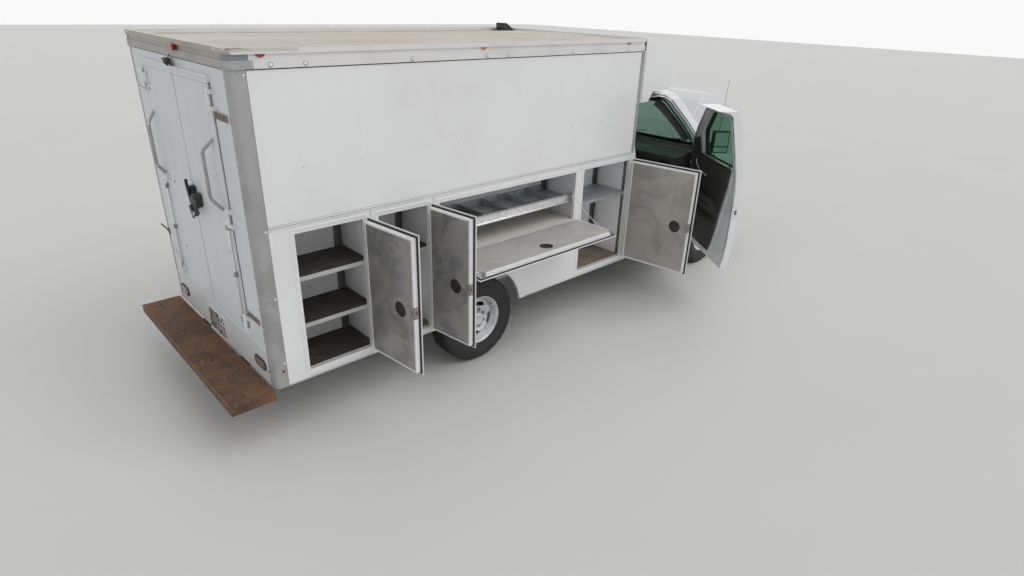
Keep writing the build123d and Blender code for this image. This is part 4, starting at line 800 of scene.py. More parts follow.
rod = Piece()
rod.use("brightSteel").tube([(-1310, -800, 1538), (-1240, -880, 1532), (-1090, -940, 1514)], 3.4, 8)
rod.dome((-1310, -800, 1540), below, 9, 6)
rod.done("doorStay", "chassis")
print("lockers fitted out")


# Box outside
shell = {"rear": backFace, "half": 983, "round": 46,
         "dimples": (-1449, -1036, -627, -221, 191, 604, 1017, 1425), "dimpleHeight": 1946,
         "railBolts": (-1578, -1368, -620, 33, 239, 960, 1695, 1918), "boltHeight": 2541}


def corner(proud, reachRear, reachSide, thick):  # plan of a sheet wrapped round the rear right corner
    x0, y0, r = shell["rear"] - proud, -shell["half"] - proud, shell["round"] + proud

    def path(lift):
        rim = [(x0 + r - (r + lift) * math.cos(t), y0 + r - (r + lift) * math.sin(t))
               for t in (math.pi / 2 * k / 8 for k in range(9))]
        return [(x0 - lift, y0 + reachRear)] + rim + [(x0 + reachSide, y0 - lift)]
    return path(thick) + path(0.2)[::-1]


def boxOutside(side):
    p = Piece(sideFrame[side])
    for x in shell["dimples"]:
        p.use("railMetal").dome((x, sideFace, shell["dimpleHeight"]), outward, 12, 2.6)
        p.dome((x, sideFace, 2500), outward, 6, 2.2)
    for x in shell["railBolts"]:
        p.use("boxWhite").dome((x, -990, shell["boltHeight"]), outward, 12, 8)
        p.use("rubber").lathe([(13, 0.3), (15, 0.3), (15, 0.6), (13, 0.6)],
            (x, -990, shell["boltHeight"]), outward, 16)
    for x in (-1630, 0, 1700):
        p.use("redLens" if x < 0 else "amberLens").prism([(x - 27 * math.cos(t),
            2599.5 - 17 * math.sin(t)) for t in (math.pi * k / 10 for k in range(11))], "y", -993, -984)
    p.use("rubber").box((-1720, 1909), (-983.7, sideFace), (2515, 2521.5))
    p.use("bandMetal").prism(corner(7, 104, 146, 1.4), "z", 2521, 2568.5)
    # Upper casting in the channel, painted darker as shade in the recess
    p.use("castMetal").prism(corner(1, 84, 118, 1.2), "z", 2568.6, 2599.8)
    p.use("creamFloor").prism(corner(12, 180, 420, 1.2), "z", 2613, 2632.2)
    for z in (2490, 1575, 1120, 640):
        p.use("railMetal").dome((-1734, sideFace, z), outward, 8, 4)
    for z in (2460, 2000, 1450, 900, 560):
        p.use("boxWhite").dome((backFace, -914, z), behind, 5, 2.5)
    for x in ((-1720.6, -1718.8), (1908, 1910)):
        p.use("rubber").box(x, (-983.8, -982.5), (1592, 2521))
    for z in (1650, 1900, 2150, 2400):  # screws of the front corner trim
        p.use("brightSteel").dome((1938, sideFace, z), outward, 4.5, 2)
    # Reflector squares low on the post
    p.use("redLens").box((-1758, -1740), (-984.8, sideFace), (574, 592))
    p.box((-1814.8, backFace), (-910, -892), (557, 575))
    p.done("boxOutside_" + side, "chassis", 0.5)


bothSides(boxOutside)


def roofHeight(y):
    return 2600 + 24 * (1 - (y / 943) ** 2)


def roofTop():  # cross seams that follow the crown, sealant, screws, torn lip, vent mesh
    p = Piece()
    for x in (-1180, 40, 1260):
        p.use("roofSheet").grid([[(x + dx, y, roofHeight(y) + dz) for dx, dz in (
            (-26, 0.1), (-20, 2.6), (20, 2.6), (26, 0.1))] for y in range(-930, 931, 93)])
        for y in range(-880, 881, 160):
            for dx in (-14, 14):
                p.use("brightSteel").dome((x + dx, y, roofHeight(y) + 2.4), above, 5, 2.5)
    edge = [(-1776, -945, 2603), (1930, -945, 2603), (1930, 945, 2603), (-1776, 945, 2603)]
    p.use("creamFloor").tube(edge, 5, 8, closed=True)
    for side in (-1, 1):
        p.box((-1764, 1918), span(side, 955, 995), (2631, 2632.6))
    for x in ((-1824, -1784), (1938, 1978)):
        p.box(x, (-935, 935), (2631, 2632.6))
    # Curled and torn lip at the rear right corner
    random.seed(3)
    rows = []
    for i in range(9):
        t = i / 8
        x = -1828 + 150 * t
        lift = 7 * math.sin(math.pi * t) ** 2 + random.uniform(-2, 2)
        rows.append([(x, -998 - 5 * math.sin(math.pi * t), 2628 + lift),
            (x + 4, -985, 2634 + lift * 0.7), (x, -966, 2633.4 + lift * 0.2), (x, -948, 2632.8)])
    p.grid(rows)
    rows = []
    for i in range(8):
        t = i / 7
        y = -1000 + 130 * t
        lift = 5 * math.sin(math.pi * t) ** 2 + random.uniform(-1.5, 1.5)
        rows.append([(-1831 - 4 * math.sin(math.pi * t), y, 2626 + lift), (-1815, y, 2634 + lift * 0.6),
                     (-1790, y, 2632.8)])
    p.grid(rows)
    # Mesh and flange of the roof vent
    p.use("blackPlastic").ring((1740, 1930), (762, 898), 10, "z", roofHeight(900) + 0.5,
        roofHeight(760) + 2)
    for y in range(776, 890, 10):
        p.use("galvanised").tube([(1787, y, roofHeight(830) + 14), (1787, y, roofHeight(830) + 62)], 1,
            5)
    p.done("roofTop", "chassis", 0.0)


roofTop()


def rearFace():  # drip rail lips, camera, straps, hinge leaves, lamps, torn hole, rivets, rod
    p = Piece()
    for z, out in ((2427, -1832), (2459, -1830)):
        p.use("edgeWhite").tube([(out, -668, z), (out, 668, z)], 5, 8)
    p.use("rubber").box((-1816, backFace), (-664, 664), (2414, 2424))
    p.box((-1813.8, -1812.6), (-892, 892), (2516, 2521))
    for y in (-661, 661):
        p.use("rubber").box((-1815.5, -1812.5), (y - 2.5, y + 2.5), (774, 2424))
    p.box((-1815.5, -1812.5), (-664, 664), (770, 774.5))
    # Reversing camera: black wedge with a round eye, and its cable
    wedge = [(-1829, 2466), (-1856, 2480), (-1868, 2506), (-1846, 2514), (-1829, 2512)]
    p.use("blackPlastic").prism(wedge, "y", -66, 2)
    p.use("rubber").lathe([(15, 0), (15, 7), (11, 8), (11, 4), (0, 4)], (-1852, -32, 2478),
        (-0.75, 0, -0.66), 20)
    p.tube([(-1836, -20, 2512), (-1822, -16, 2522), (-1821, -14, 2534)], 3, 8)
    # Marker lamp
    p.use("redLens").box((-1846, -1828), (-186, -94), (2566, 2603))
    for side in (-1, 1):
        for z in (935, 2245):  # strap plates with three slots
            y0, y1 = span(side, 672, 888)
            p.use("strapIron" if side < 0 else "rearWhite").box((-1821.6, -1819.8), (y0, y1),
                (z - 22, z + 22))
            for k in (0.3, 0.55, 0.8):
                y = y0 + (y1 - y0) * k
                p.use("rubber").box((-1822.2, -1821), (y - 5, y + 5), (z - 12, z + 12))
            for k in (0.08, 0.94):
                p.use("latchZinc").dome((-1821.6, y0 + (y1 - y0) * k, z), behind, 7, 4)
        for z in (850, 1600, 2330):  # hinge leaf on the frame, with its screws and a pin head
            y = side * 655
            leaf = sorted((y + side * 15, y + side * 56))
            p.use("edgeWhite").box((-1816.4, backFace), leaf, (z - 62, z + 62))
            for dz in (-40, 40):
                p.use("latchZinc").dome((-1816.4, y + side * 40, z + dz), behind, 5, 2.5)
            for end, dz in ((1, 62), (-1, -62)):
                p.use("edgeWhite").lathe([(11.6, 0), (11, 3), (6, 5), (0, 5)], (-1835, y, z + dz),
                    (0, 0, end), 16)
                p.lathe([(11.7, 0), (11.7, -22)], (-1835, y, z + dz), (0, 0, end), 16)
    # Lamp bezels and lenses
    for y in (-770, 770):
        def oval(lift, out):
            return [(out, y + math.copysign(51, c) + (31 + lift) * c, 584 + (31 + lift) * s)
                    for c, s in circle(40, 0.5)]
        p.use("rubber").tube(oval(4, -1818), 6, 8, closed=True)
        p.face(p.use("brownLens").loft([oval(-1, -1823), oval(-9, -1825.5)])[-1][::-1])
        for dy in (-34, 0, 34):
            p.use("clearLens").dome((-1825.4, y + dy, 584), behind, 9, 1.6)
    # Torn hole: ragged lips bent in and out round the cut, bare metal showing
    random.seed(11)
    rim = []
    torn = [(-120, 487), (190, 487), (190, 655), (-120, 655)]
    for (y0, z0), (y1, z1) in zip(torn, torn[1:] + torn[:1]):
        for k in range(9):
            rim.append((y0 + (y1 - y0) * k / 9, z0 + (z1 - z0) * k / 9))
    outer, middle, tips = [], [], []
    for y, z in rim:
        cy, cz = 35, 571
        far = 1 + random.uniform(0.03, 0.09)
        outer.append((-1813.6, cy + (y - cy) * far, cz + (z - cz) * far))
        middle.append((-1816 - random.uniform(0, 5), y, z))
        near = 1 - random.uniform(0.02, 0.22)
        tips.append((-1812 + random.uniform(-18, 14), cy + (y - cy) * near, cz + (z - cz) * near))
    p.use("rearWhite").loft([outer, middle], False)
    p.use("rustyIron").loft([middle, tips], False)
    # Wires hanging in the hole
    p.use("rubber").tube([(-1790, 120, 650), (-1800, 110, 600), (-1792, 70, 560), (-1798, 20, 565),
        (-1790, -30, 640)], 3.5, 8)
    p.use("redLens").tube([(-1786, 90, 650), (-1795, 84, 610), (-1790, 100, 585)], 2.2, 6)
    p.use("rearWhite")
    for y in (-800, -420, 420, 800):
        for z in (700, 480):
            p.dome((backFace, y, z), behind, 6, 2.5)
    p.tube([(-1814, -890, 726), (-1814, 890, 726)], 4, 8)
    # Hold-back rod at the left corner
    p.use("rubber").tube([(-1816, 900, 1076), (-1818, 1102, 1084)], 6, 8)
    p.use("rustyIron").box((-1820, backFace), (884, 916), (1050, 1100))
    p.done("rearFace", "chassis", 0.4)


rearFace()


def rearDoor(side):  # seals, creases, bright grab rail, rod keepers, lever lock, rubs and torn marks
    way = -1 if side == "right" else 1
    p = Piece()
    face = -1821

    def mark(finish, shape, lift=0.5):
        p.use(finish).prism([(way * y, z) for y, z in shape], "x", face - lift, face)
    for y in (470, 560):
        p.use("rearWhite").tube([(face + 1.2, way * y, 800), (face + 1.2, way * y, 2396)], 3, 8)
    p.use("rubber").box((face - 0.6, face + 1), span(way, 3.2, 6), (780, 2416))
    p.use("rearWhite").ring(span(way, 12, 646), (788, 2408), 8, "x", face - 1.6, face)
    rail, foot = way * 550, way * 590
    path = [(-1817, foot, 2096), (-1841, foot, 2075), (-1882, way * 555, 2022), (-1887, rail, 2006),
            (-1887, rail, 1722), (-1882, way * 555, 1706), (-1841, foot, 1650), (-1817, foot, 1630)]
    p.use("postMetal").tube(path, 10.8, 14)
    for z in (2096, 1630):
        p.use("edgeWhite").prism([(foot - 16, z - 34), (foot + 16, z - 34), (foot + 16, z + 34),
            (foot - 16, z + 34)], "x", face - 4, face)
        for dz in (-24, 24):
            p.use("brightSteel").dome((face - 4, foot, z + dz), behind, 4.5, 2.5)
    rod = way * 619
    p.use("brightSteel").tube([(-1835, rod, 832), (-1835, rod, 1566)], 8, 12)
    for z in (868, 1200, 1530):
        p.use("latchZinc").box((-1844, face), (rod - 14, rod + 14), (z - 16, z + 16))
        for dy in (-9, 9):
            p.use("brightSteel").dome((-1844, rod + dy, z), behind, 3.5, 2)
    for z in (850, 1600, 2330):
        y = way * 655
        p.use("edgeWhite").box((face - 3.4, face), sorted((y - way * 52, y - way * 14)),
            (z - 42, z + 42))
        p.lathe([(11.9, -37), (11.9, 37)], (-1835, y, z), above, 16)
        for dz in (-26, 26):
            p.use("latchZinc").dome((face - 3.4, y - way * 38, z + dz), behind, 5, 2.5)
    if way < 0:
        # Lever lock: plate, housing, boss, arm with its hook, and the bent lever
        p.use("blackPlastic").prism([(-8, 1516), (-66, 1516), (-72, 1530), (-68, 1600), (-64, 1676),
            (-12, 1676), (-8, 1600)], "x", -1849, face)
        p.prism([(-14, 1556), (-70, 1540), (-140, 1544), (-160, 1566), (-166, 1630), (-150, 1644),
            (-112, 1642), (-50, 1606), (-14, 1600)], "x", -1867, -1823)
        p.lathe([(24, 0), (24, 8), (19, 15), (0, 16)], (-1864, -142, 1626), behind, 24)
        p.tube([(-1856, -22, 1600), (-1862, -18, 1660), (-1866, -16, 1700), (-1868, -24, 1718),
            (-1868, -44, 1716)], [14, 12, 10, 10, 9], 12)
        p.tube([(-1839, -40, 1560), (-1873, -52, 1540), (-1873, -88, 1470), (-1861, -128, 1500)], 13.6,
            14)
        p.tube([(-1862, -146, 1590), (-1872, -160, 1552), (-1876, -172, 1530), (-1870, -182, 1514)],
               [18, 15, 13, 13], 12)
        mark("railMetal", [(200, 1590), (330, 1596), (336, 1700), (300, 1765), (214, 1770),
            (200, 1700)], 0.25)
        mark("rustyIron", [(540, 1318), (562, 1312), (574, 1330), (560, 1350), (538, 1342)], 0.3)
        mark("railMetal", [(500, 1500), (590, 1470), (596, 1492), (505, 1522)], 0.25)
    else:
        random.seed(5)
        for y, z in ((585, 2360), (560, 2290), (600, 2250), (570, 1650), (548, 1625), (520, 1600),
                (430, 1598)):
            mark("axleIron", [(y + random.uniform(6, 22) * c, z + random.uniform(4, 16) * s)
                              for c, s in circle(7)], 0.35)
        mark("rustyIron", [(446, 1068), (462, 1070), (466, 1084), (454, 1092), (444, 1084)], 0.3)
    # Inner face of the door: lining sheet, stiffening ribs
    p.use("doorInside").box((-1779, -1777), span(way, 30, 620), (810, 2390))
    for z in (1100, 1600, 2100):
        p.use("rearWhite").box((-1777, -1768), span(way, 40, 610), (z - 22, z + 22))
    p.done("rearDoor_" + side, "rear_door_" + side, 0.4)


bothSides(rearDoor)


def stepAndBox():  # grip pattern and edge of the step, cargo floor boards, ribs inside the box
    p = Piece()
    random.seed(2)
    for x in range(-2100, -1840, 34):
        for y in range(-960, 961, 60):
            turn = 0.6 if (x // 34 + y // 60) % 2 else -0.6
            c, s = 11 * math.cos(turn), 11 * math.sin(turn)
            p.use("stepRust").tube([(x - c, y - s, 450.4), (x + c, y + s, 450.4)], [1.4, 1.4], 6)
    p.use("rustyIron").tube([(-2123, -981, 447), (-2123, 981, 447)], 4, 8)
    for y in (-900, -300, 300, 900):
        p.use("axleIron").hexagon((-2000, y, 450), above, 11, 7)
    for y in range(-540, 541, 90):
        p.use("galvanised").box((-1764, 1936), (y - 1, y + 1), (770, 771.2))
    for x in range(-1560, 1800, 406):
        for side in (-1, 1):
            p.use("galvanised").box((x - 22, x + 22), span(side, 938, 957), (1594, 2520))
    for z in (1700, 2100, 2440):
        for side in (-1, 1):
            p.use("railMetal").box((-1700, 1900), span(side, 932, 937), (z - 16, z + 16))
    p.done("stepAndBox", "chassis", 0.0)


stepAndBox()


def noseCone():  # joint behind the cap, its flange screws and the small vent
    p = Piece()
    for side in (-1, 1):
        p.use("rubber").box((1980, 1984), span(side, 978.6, 979.6), (2062, 2512))
        for z in range(2100, 2500, 100):
            p.use("brightSteel").dome((2004, side * 979, z), (0, side, 0), 4.5, 2)
        for x in range(2140, 2480, 80):
            p.dome((x, side * (979 - 0.022 * max(0, x - 1967)), 2174), (0, side, 0), 4.5, 2)
    x0 = 2185
    slope = (2559 - 2623) / 140
    frameRows = [(x0 + dx, y, 2623 + slope * (x0 + dx - 2157) + dz)
                 for dz in (0.5, 9) for dx, y in ((0, 320), (92, 320), (92, 470), (0, 470))]
    v = p.use("blackPlastic").points(frameRows)
    for ring in ((4, 5, 6, 7), (0, 1, 5, 4), (1, 2, 6, 5), (2, 3, 7, 6), (3, 0, 4, 7)):
        p.face([v[i] for i in ring])
    for y in range(334, 462, 14):
        rows = [(x0 + dx, y + dy, 2623 + slope * (x0 + dx - 2157) + 9.6) for dx in (8, 84)
            for dy in (0, 6)]
        q = p.use("rubber").points(rows)
        p.face([q[0], q[1], q[3], q[2]])
    p.done("noseConeTrim", "chassis", 0.0)


noseCone()

# Stay of the folded-down door: a cord from the frame to the plate
cord = Piece()
cord.use("brightSteel")
links = 26
for k in range(links):
    t0, t1 = k / links, (k + 0.86) / links

    def along(t):
        mid = Vector((1096, -985, 1302)).lerp(Vector((1066, -1374, 1092)), t)
        mid.z -= 12 * math.sin(math.pi * t)
        return mid
    cord.tube([along(t0), along((t0 + t1) / 2), along(t1)], 3.4 if k % 2 else 2.6, 6)
cord.use("brightSteel").box((1086, 1106), (-988, sideFace), (1286, 1318))
stay = cord.done("foldStay", None)
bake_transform(stay)
print("box and rear dressed")


# Cab doors, in the frame of a closed right-hand door
cab = {"hinge": (3155, -998, 0), "open": 53,
       "window": [(2084, 1510), (2845, 1490), (2800, 1745), (2560, 1962), (2480, 1990), (2084, 1990)],
       "skin": [(420, -970), (640, -1000), (760, -1006), (950, -1006), (1300, -1000), (1490, -976),
                (2020, -856), (2072, -818), (2122, -676)],
       "trimRear": [(560, 2396), (593, 2387), (1002, 2291), (1374, 2177), (1500, 2118), (1647, 2050)]}


def between(table, value):  # straight lines through a table of (key, amount)
    if value <= table[0][0]:
        return table[0][1]
    for (a, u), (b, v) in zip(table[:-1], table[1:]):
        if value <= b:
            return u + (v - u) * (value - a) / (b - a)
    return table[-1][1]


def skinY(z, inset=0.0):
    return between(cab["skin"], z + inset * 0.4 * max(0, (z - 1490) / 600)) + inset


def finer(outline, length, least):  # a closed outline with its long sides split
    fine = []
    for (x0, z0), (x1, z1) in zip(outline, outline[1:] + outline[:1]):
        steps = max(least, int(math.hypot(x1 - x0, z1 - z0) / length))
        fine += [(x0 + (x1 - x0) * k / steps, z0 + (z1 - z0) * k / steps) for k in range(steps)]
    return fine


def polarEdge(outline, centre, angle):
    best = 0
    c, s = math.cos(angle), math.sin(angle)
    for (x0, z0), (x1, z1) in zip(outline, outline[1:] + outline[:1]):
        ax, az, bx, bz = x0 - centre[0], z0 - centre[1], x1 - centre[0], z1 - centre[1]
        cross = c * (bz - az) - s * (bx - ax)
        if abs(cross) < 1e-9:
            continue
        t = (ax * (bz - az) - az * (bx - ax)) / cross
        u = (ax * s - az * c) / cross
        if t > 0 and -1e-6 <= u <= 1 + 1e-6:
            best = max(best, t)
    return best


# A band round the window; levels: growth, rounding (0 or 1), y as a function of z
def windowSeal(p, outline, centre, levels, count=96):
    angles = [2 * math.pi * k / count for k in range(count)]
    sharp = [polarEdge(outline, centre, a) for a in angles]
    soft = [sum(sharp[(i + d) % count] for d in range(-3, 4)) / 7 for i in range(count)]
    rings = []
    for grow, rounded, depth in levels:
        row = []
        for a, r0, r1 in zip(angles, sharp, soft):
            r = (min(r0, r1) if rounded else r0) + grow
            x, z = centre[0] + r * math.cos(a), centre[1] + r * math.sin(a)
            row.append((x, depth(z), z))
        rings.append(row)
    p.loft(rings)


def bulge(value, low, high, soft):
    return max(0.0, min(1.0, (value - low) / soft, (high - value) / soft))


def doorPanel(p):  # moulded inner trim with bolster, armrest, pocket and belt roll
    zs = [566, 569, 576] + [580 + 22 * k for k in range(42)] + [1496, 1500]
    rows = []
    for z in zs:
        x0, x1 = between(cab["trimRear"], z), 3112 if z < 1440 else 3106
        xs = [x0, x0 + 3, x0 + 10] + [x0 + 10 + (x1 - x0 - 20) * k / 38 for k in range(1, 38)] + [x1
            - 10, x1 - 3, x1]
        row = []
        for x in xs:
            depth = 15 + 18 * bulge(z, 1110, 1480, 90) * bulge(x, x0 + 10, x1, 160)
            arm = bulge(z, 985, 1085, 26) * bulge(x, x0 + 70, 3010, 80)
            pocket = bulge(z, 610, 905, 34) * bulge(x, x0 + 36, 3050, 60)
            depth = max(depth, 15 + 52 * arm ** 0.6, 15 + 16 * pocket ** 0.6)
            depth -= 10 * bulge(z, 1096, 1120, 8) * bulge(x, x0 + 60, 3030, 40)
            depth -= 8 * bulge(z, 918, 966, 16)
            edge = min(1.0, (min(x - x0, x1 - x) / 10) ** 0.5 if min(x - x0, x1 - x) > 0 else 0,
                       max(0.0, min(z - 566, 1500 - z) / 10) ** 0.5)
            row.append((x, skinY(z, 62) + 0.4 + depth * edge, z))
        rows.append(row)
    p.use("trimGrey").grid(rows)
    roll = [(x, skinY(1494, 62) + 14, 1496 - 0.02 * (x - 2100)) for x in range(2130, 3111, 70)]
    p.use("rubber").tube(roll, 11, 10)
    # Pull, inner handle, window crank boss, speaker holes, lock button
    p.use("railMetal").tube([(2940, skinY(1400, 62) + 40, 1420), (2905, skinY(1370, 62) + 46, 1375),
        (2820, skinY(1330, 62) + 50, 1332), (2640, skinY(1300, 62) + 50, 1312)], 5, 10)
    p.use("blackPlastic").prism([(2860, 1150), (3010, 1150), (3024, 1180), (3010, 1222), (2870, 1222),
        (2846, 1186)], "y", -922, -906)
    p.use("brightSteel").tube([(2985, -902, 1186), (2930, -897, 1186), (2880, -902, 1190)], 7, 10)
    p.use("blackPlastic").tube([(2420, -868, 1062), (2700, -860, 1066), (2980, -868, 1062)], 16, 12)
    for i in range(-6, 7):
        for j in range(-6, 7):
            if i * i + j * j < 40:
                p.use("rubber").lathe([(0, 0.8), (4, 0.8), (4, 0)], (2900 + 13 * i, -898, 760 + 13 * j),
                    inward, 6)
    p.use("blackPlastic").lathe([(6, 0), (6, 26), (4, 32), (0, 33)], (2170, skinY(1500, 62) + 6, 1500),
        above, 10)


def cabDoor(side):  # seals, trim, latch edge, handle, mirror glass, hinge straps
    p = Piece(about(cab["hinge"], "Z", cab["open"]) if side == "right" else sideFrame["left"])
    centre = (2430, 1735)
    window = cab["window"]
    p.use("rubber")
    windowSeal(p, window, centre, [(-2, 0, lambda z: skinY(z, 40)), (-9, 1, lambda z: skinY(z, 38)),
        (-11, 1, lambda z: skinY(z, 34)), (-11, 1, lambda z: skinY(z, 31) + 1)])
    # Painted frame of the window on the inner face, pale round the glass
    p.use("sealPale")
    windowSeal(p, window, centre, [(34, 0, lambda z: skinY(z, 62) + 0.6),
        (31, 0, lambda z: skinY(z, 62) + 7), (3, 0, lambda z: skinY(z, 62) + 7),
        (-2, 0, lambda z: skinY(z, 62) + 2), (-2.5, 0, lambda z: skinY(z, 40))])
    p.use("rubber")
    windowSeal(p, window, centre, [(10, 0, lambda z: skinY(z) - 0.4), (6, 0, lambda z: skinY(z) - 4),
        (-8, 1, lambda z: skinY(z) - 2), (-14, 1, lambda z: skinY(z, 22))])
    doorPanel(p)
    # Sail trim behind the mirror foot
    sail = [(2886, 1500), (3100, 1500), (3074, 1588), (2984, 1640), (2886, 1664)]
    sail = [[(x, skinY(z, 62) + lift, z) for x, z in sail] for lift in (10, -2)]
    p.face(p.use("trimGrey").loft(sail, False)[0])
    # Seal round the edge of the inner face
    rim = [(2046, 545), (3128, 545), (3128, 1495), (3085, 1588), (2942, 1736), (2678, 1966),
        (2582, 2018), (2488, 2030), (2046, 2030)]
    p.use("rubber").tube([(x, skinY(z, 62) - 0.5, z) for x, z in finer(rim, 60, 2)], 4.5, 8,
        closed=True)
    # Rear edge: latch recess, slot, striker plate, bumpers and plug
    p.use("railMetal").box((2020.8, 2022), (-992, -952), (1038, 1175))
    p.use("edgeWhite").ring((-990, -954), (1042, 1171), 5, "x", 2019.6, 2021)
    p.use("rubber").box((2019.4, 2021.2), (-984, -964), (1084, 1126))
    p.use("brightSteel").tube([(2020.5, -974, 1090), (2019, -974, 1105), (2020.5, -974, 1120)], 2, 8)
    for z in (1058, 1154):
        p.use("brightSteel").dome((2019.6, -962, z), behind, 5, 1.6)
    p.use("rubber").dome((2046, skinY(1960, 62), 1960), inward, 12, 4)
    p.dome((2062, skinY(570, 62), 566), inward, 10, 4)
    p.dome((2250, skinY(545, 62), 560), inward, 8, 3)
    crease = [(2110, 1440), (2150, 1300), (2240, 1000), (2300, 720), (2340, 590)]
    p.use("cabWhite").tube([(x, skinY(z, 62) + 0.5, z) for x, z in crease], 4, 8)
    p.tube([(2034, skinY(z, 62), z) for z in (560, 760, 950, 1200, 1450, 1700, 1990)], 3.5, 8)
    # Outside: handle, key cylinder, belt weatherstrip, body crease, drip rail
    p.use("blackPlastic").prism([(2110, 1352), (2290, 1352), (2304, 1376), (2290, 1412), (2110, 1412),
        (2096, 1380)], "y", -1004, -990)
    p.tube([(2122, -1006, 1390), (2140, -1022, 1392), (2262, -1022, 1392), (2282, -1006, 1390)], 9, 10)
    p.use("brightSteel").dome((2200, -1003.5, 1336), outward, 9, 3)
    p.use("rubber").tube([(2088, skinY(1506) - 1, 1506), (2470, skinY(1496) - 1, 1496),
        (2846, skinY(1487) - 1, 1487)], 7, 8)
    p.use("cabWhite").tube([(2032, skinY(1296) - 0.5, 1296), (3142, skinY(1296) - 0.5, 1296)], 5, 8)
    p.tube([(2032, skinY(700) - 0.2, 700), (3142, skinY(700) - 0.2, 700)], 4, 8)
    # Mirror: two glasses in a black rim, on the rear face of the housing
    for z0, z1 in ((1544, 1690), (1480, 1534)):
        p.use("rubber").ring((-1222, -1070), (z0, z1), 6, "x", 2967, 2973)
        p.use("mirrorGlass").box((2969.5, 2971.5), (-1222, -1070), (z0, z1))
    p.use("blackPlastic").tube([(3009, -980, 1550), (3009, -1060, 1550)], 27, 14)
    p.box((2990, 3028), (-1000, -962), (1510, 1590))
    for z in (760, 1080):  # hinge straps on the door, with their bolts
        p.use("cabWhite").box((3080, 3146), (-972, -943.4), (z - 34, z + 34))
        for x in (3096, 3126):
            p.use("axleIron").hexagon((x, -943.4, z), inward, 8, 2)
    p.done("cabDoor_" + side, "cab_door_" + side, 0.4)


def doorPaint(side):  # white door whose mirror and arm are black plastic, told apart by their place
    f = Finish("doorPaint_" + side)
    turn = math.radians(cab["open"]) if side == "right" else 0.0
    hinge = place(3155, -998 if side == "right" else 998, 0)
    nx, ny = (math.sin(turn), -math.cos(turn)) if side == "right" else (0.0, 1.0)
    out = (f.x - hinge.x) * nx + (f.y - hinge.y) * ny
    black = out.steps(0.020, 0.0202)
    clouds, fine = f.noise(0.9, 4, 0.6), f.noise(0.012, 5, 0.7)
    low = (0.75 - f.z).steps(0.0, 0.75) * 0.35 * (fine * 0.7 + 0.5)
    white = f.mix(clouds.steps(0.42, 0.75) * 0.15, (0.82, 0.83, 0.85), (0.68, 0.675, 0.66))
    white = f.mix(low, white, (0.40, 0.36, 0.31))
    plastic = f.mix(clouds.steps(0.4, 0.8), (0.022, 0.022, 0.024), (0.05, 0.05, 0.048))
    waves = f.noise(3.0, 1.5) * 0.004 + fine * 0.00015
    return f.wrap(Base_Color=f.mix(black, white, plastic), Roughness=0.14 + black * 0.36 + clouds
        * 0.08, Coat_Weight=(1 - black) * 0.8, Coat_Roughness=0.08, Normal=f.bump(waves, 0.35, 0.5))


for side in ("right", "left"):
    cabDoor(side)
    finishes["doorPaint_" + side] = doorPaint(side)
    dress("doorPaint_" + side, ["cab_door_" + side])


def doorway(side):  # weatherstrips round the opening, sill plate, pillar and header linings, belt
    p = Piece(sideFrame[side])
    hole = [(2015, 530), (3140, 520), (3157, 560), (3157, 1503), (3112, 1607), (2966, 1757),
        (2694, 1996), (2598, 2057), (2492, 2072), (2060, 2072), (2015, 2060)]
    p.use("rubber").tube([(x, skinY(z, 76), z) for x, z in finer(hole, 50, 1)
        if z > 560 and (x > 2100 or z > 600)], 9, 10)
    outer = [(2100, 2078), (2496, 2078), (2602, 2062), (2706, 2006), (2980, 1768), (3126, 1618),
        (3168, 1545)]
    p.tube([(x, skinY(z) - 1, z) for x, z in outer], 6, 8)
    p.use("trimGrey").box((2090, 3080), (-889, -862), (768.5, 775))
    p.use("brightSteel").box((2120, 3040), (-884, -868), (775, 776.5))
    for x in range(2160, 3020, 120):
        p.dome((x, -876, 776.5), above, 4, 1.6)
    p.use("brightSteel").tube([(2008, -962, 1090), (2004, -946, 1090), (2004, -946, 1122),
        (2008, -962, 1122)], 4, 8)
    # Pillar and header linings
    pillar = [(3078, 1562), (3022, 1624), (2880, 1762), (2640, 1960), (2560, 2006)]
    rows = [[(x + dx, skinY(z, 72) + dy, z + dz) for dx, dy, dz in ((24, 2, 16), (6, 20, 8),
        (-24, 26, -22), (-50, 8, -40))] for x, z in pillar]
    p.use("blackPlastic").grid(rows)
    header = [[(x, skinY(2040, 72) + dy, 2040 + dz) for dy, dz in ((77, 28), (92, 34), (112, 4),
        (84, -20))] for x in range(2060, 2581, 130)]
    p.grid(header)
    post = [[(2062 + dx, skinY(z, 72) + dy, z) for dx, dy in ((-30, 6), (-10, 26), (26, 24), (44, 4))]
            for z in (800, 1100, 1400, 1600, 1800, 2000)]
    p.use("trimGrey").grid(post)
    p.use("blackPlastic").tube([(3004, -846, 1612), (2972, -822, 1646), (2906, -800, 1716),
        (2868, -812, 1752)], [12, 14, 14, 12], 10)
    p.use("rubber").tube([(2082, skinY(1740, 102), 1740), (2086, skinY(1200, 102), 1200),
        (2110, -846, 800)], 2.2, 6)
    p.use("trimGrey").box((2080, 2104), (-826, -800), (1728, 1768))
    p.done("doorway_" + side, "chassis", 0.3)


bothSides(doorway)


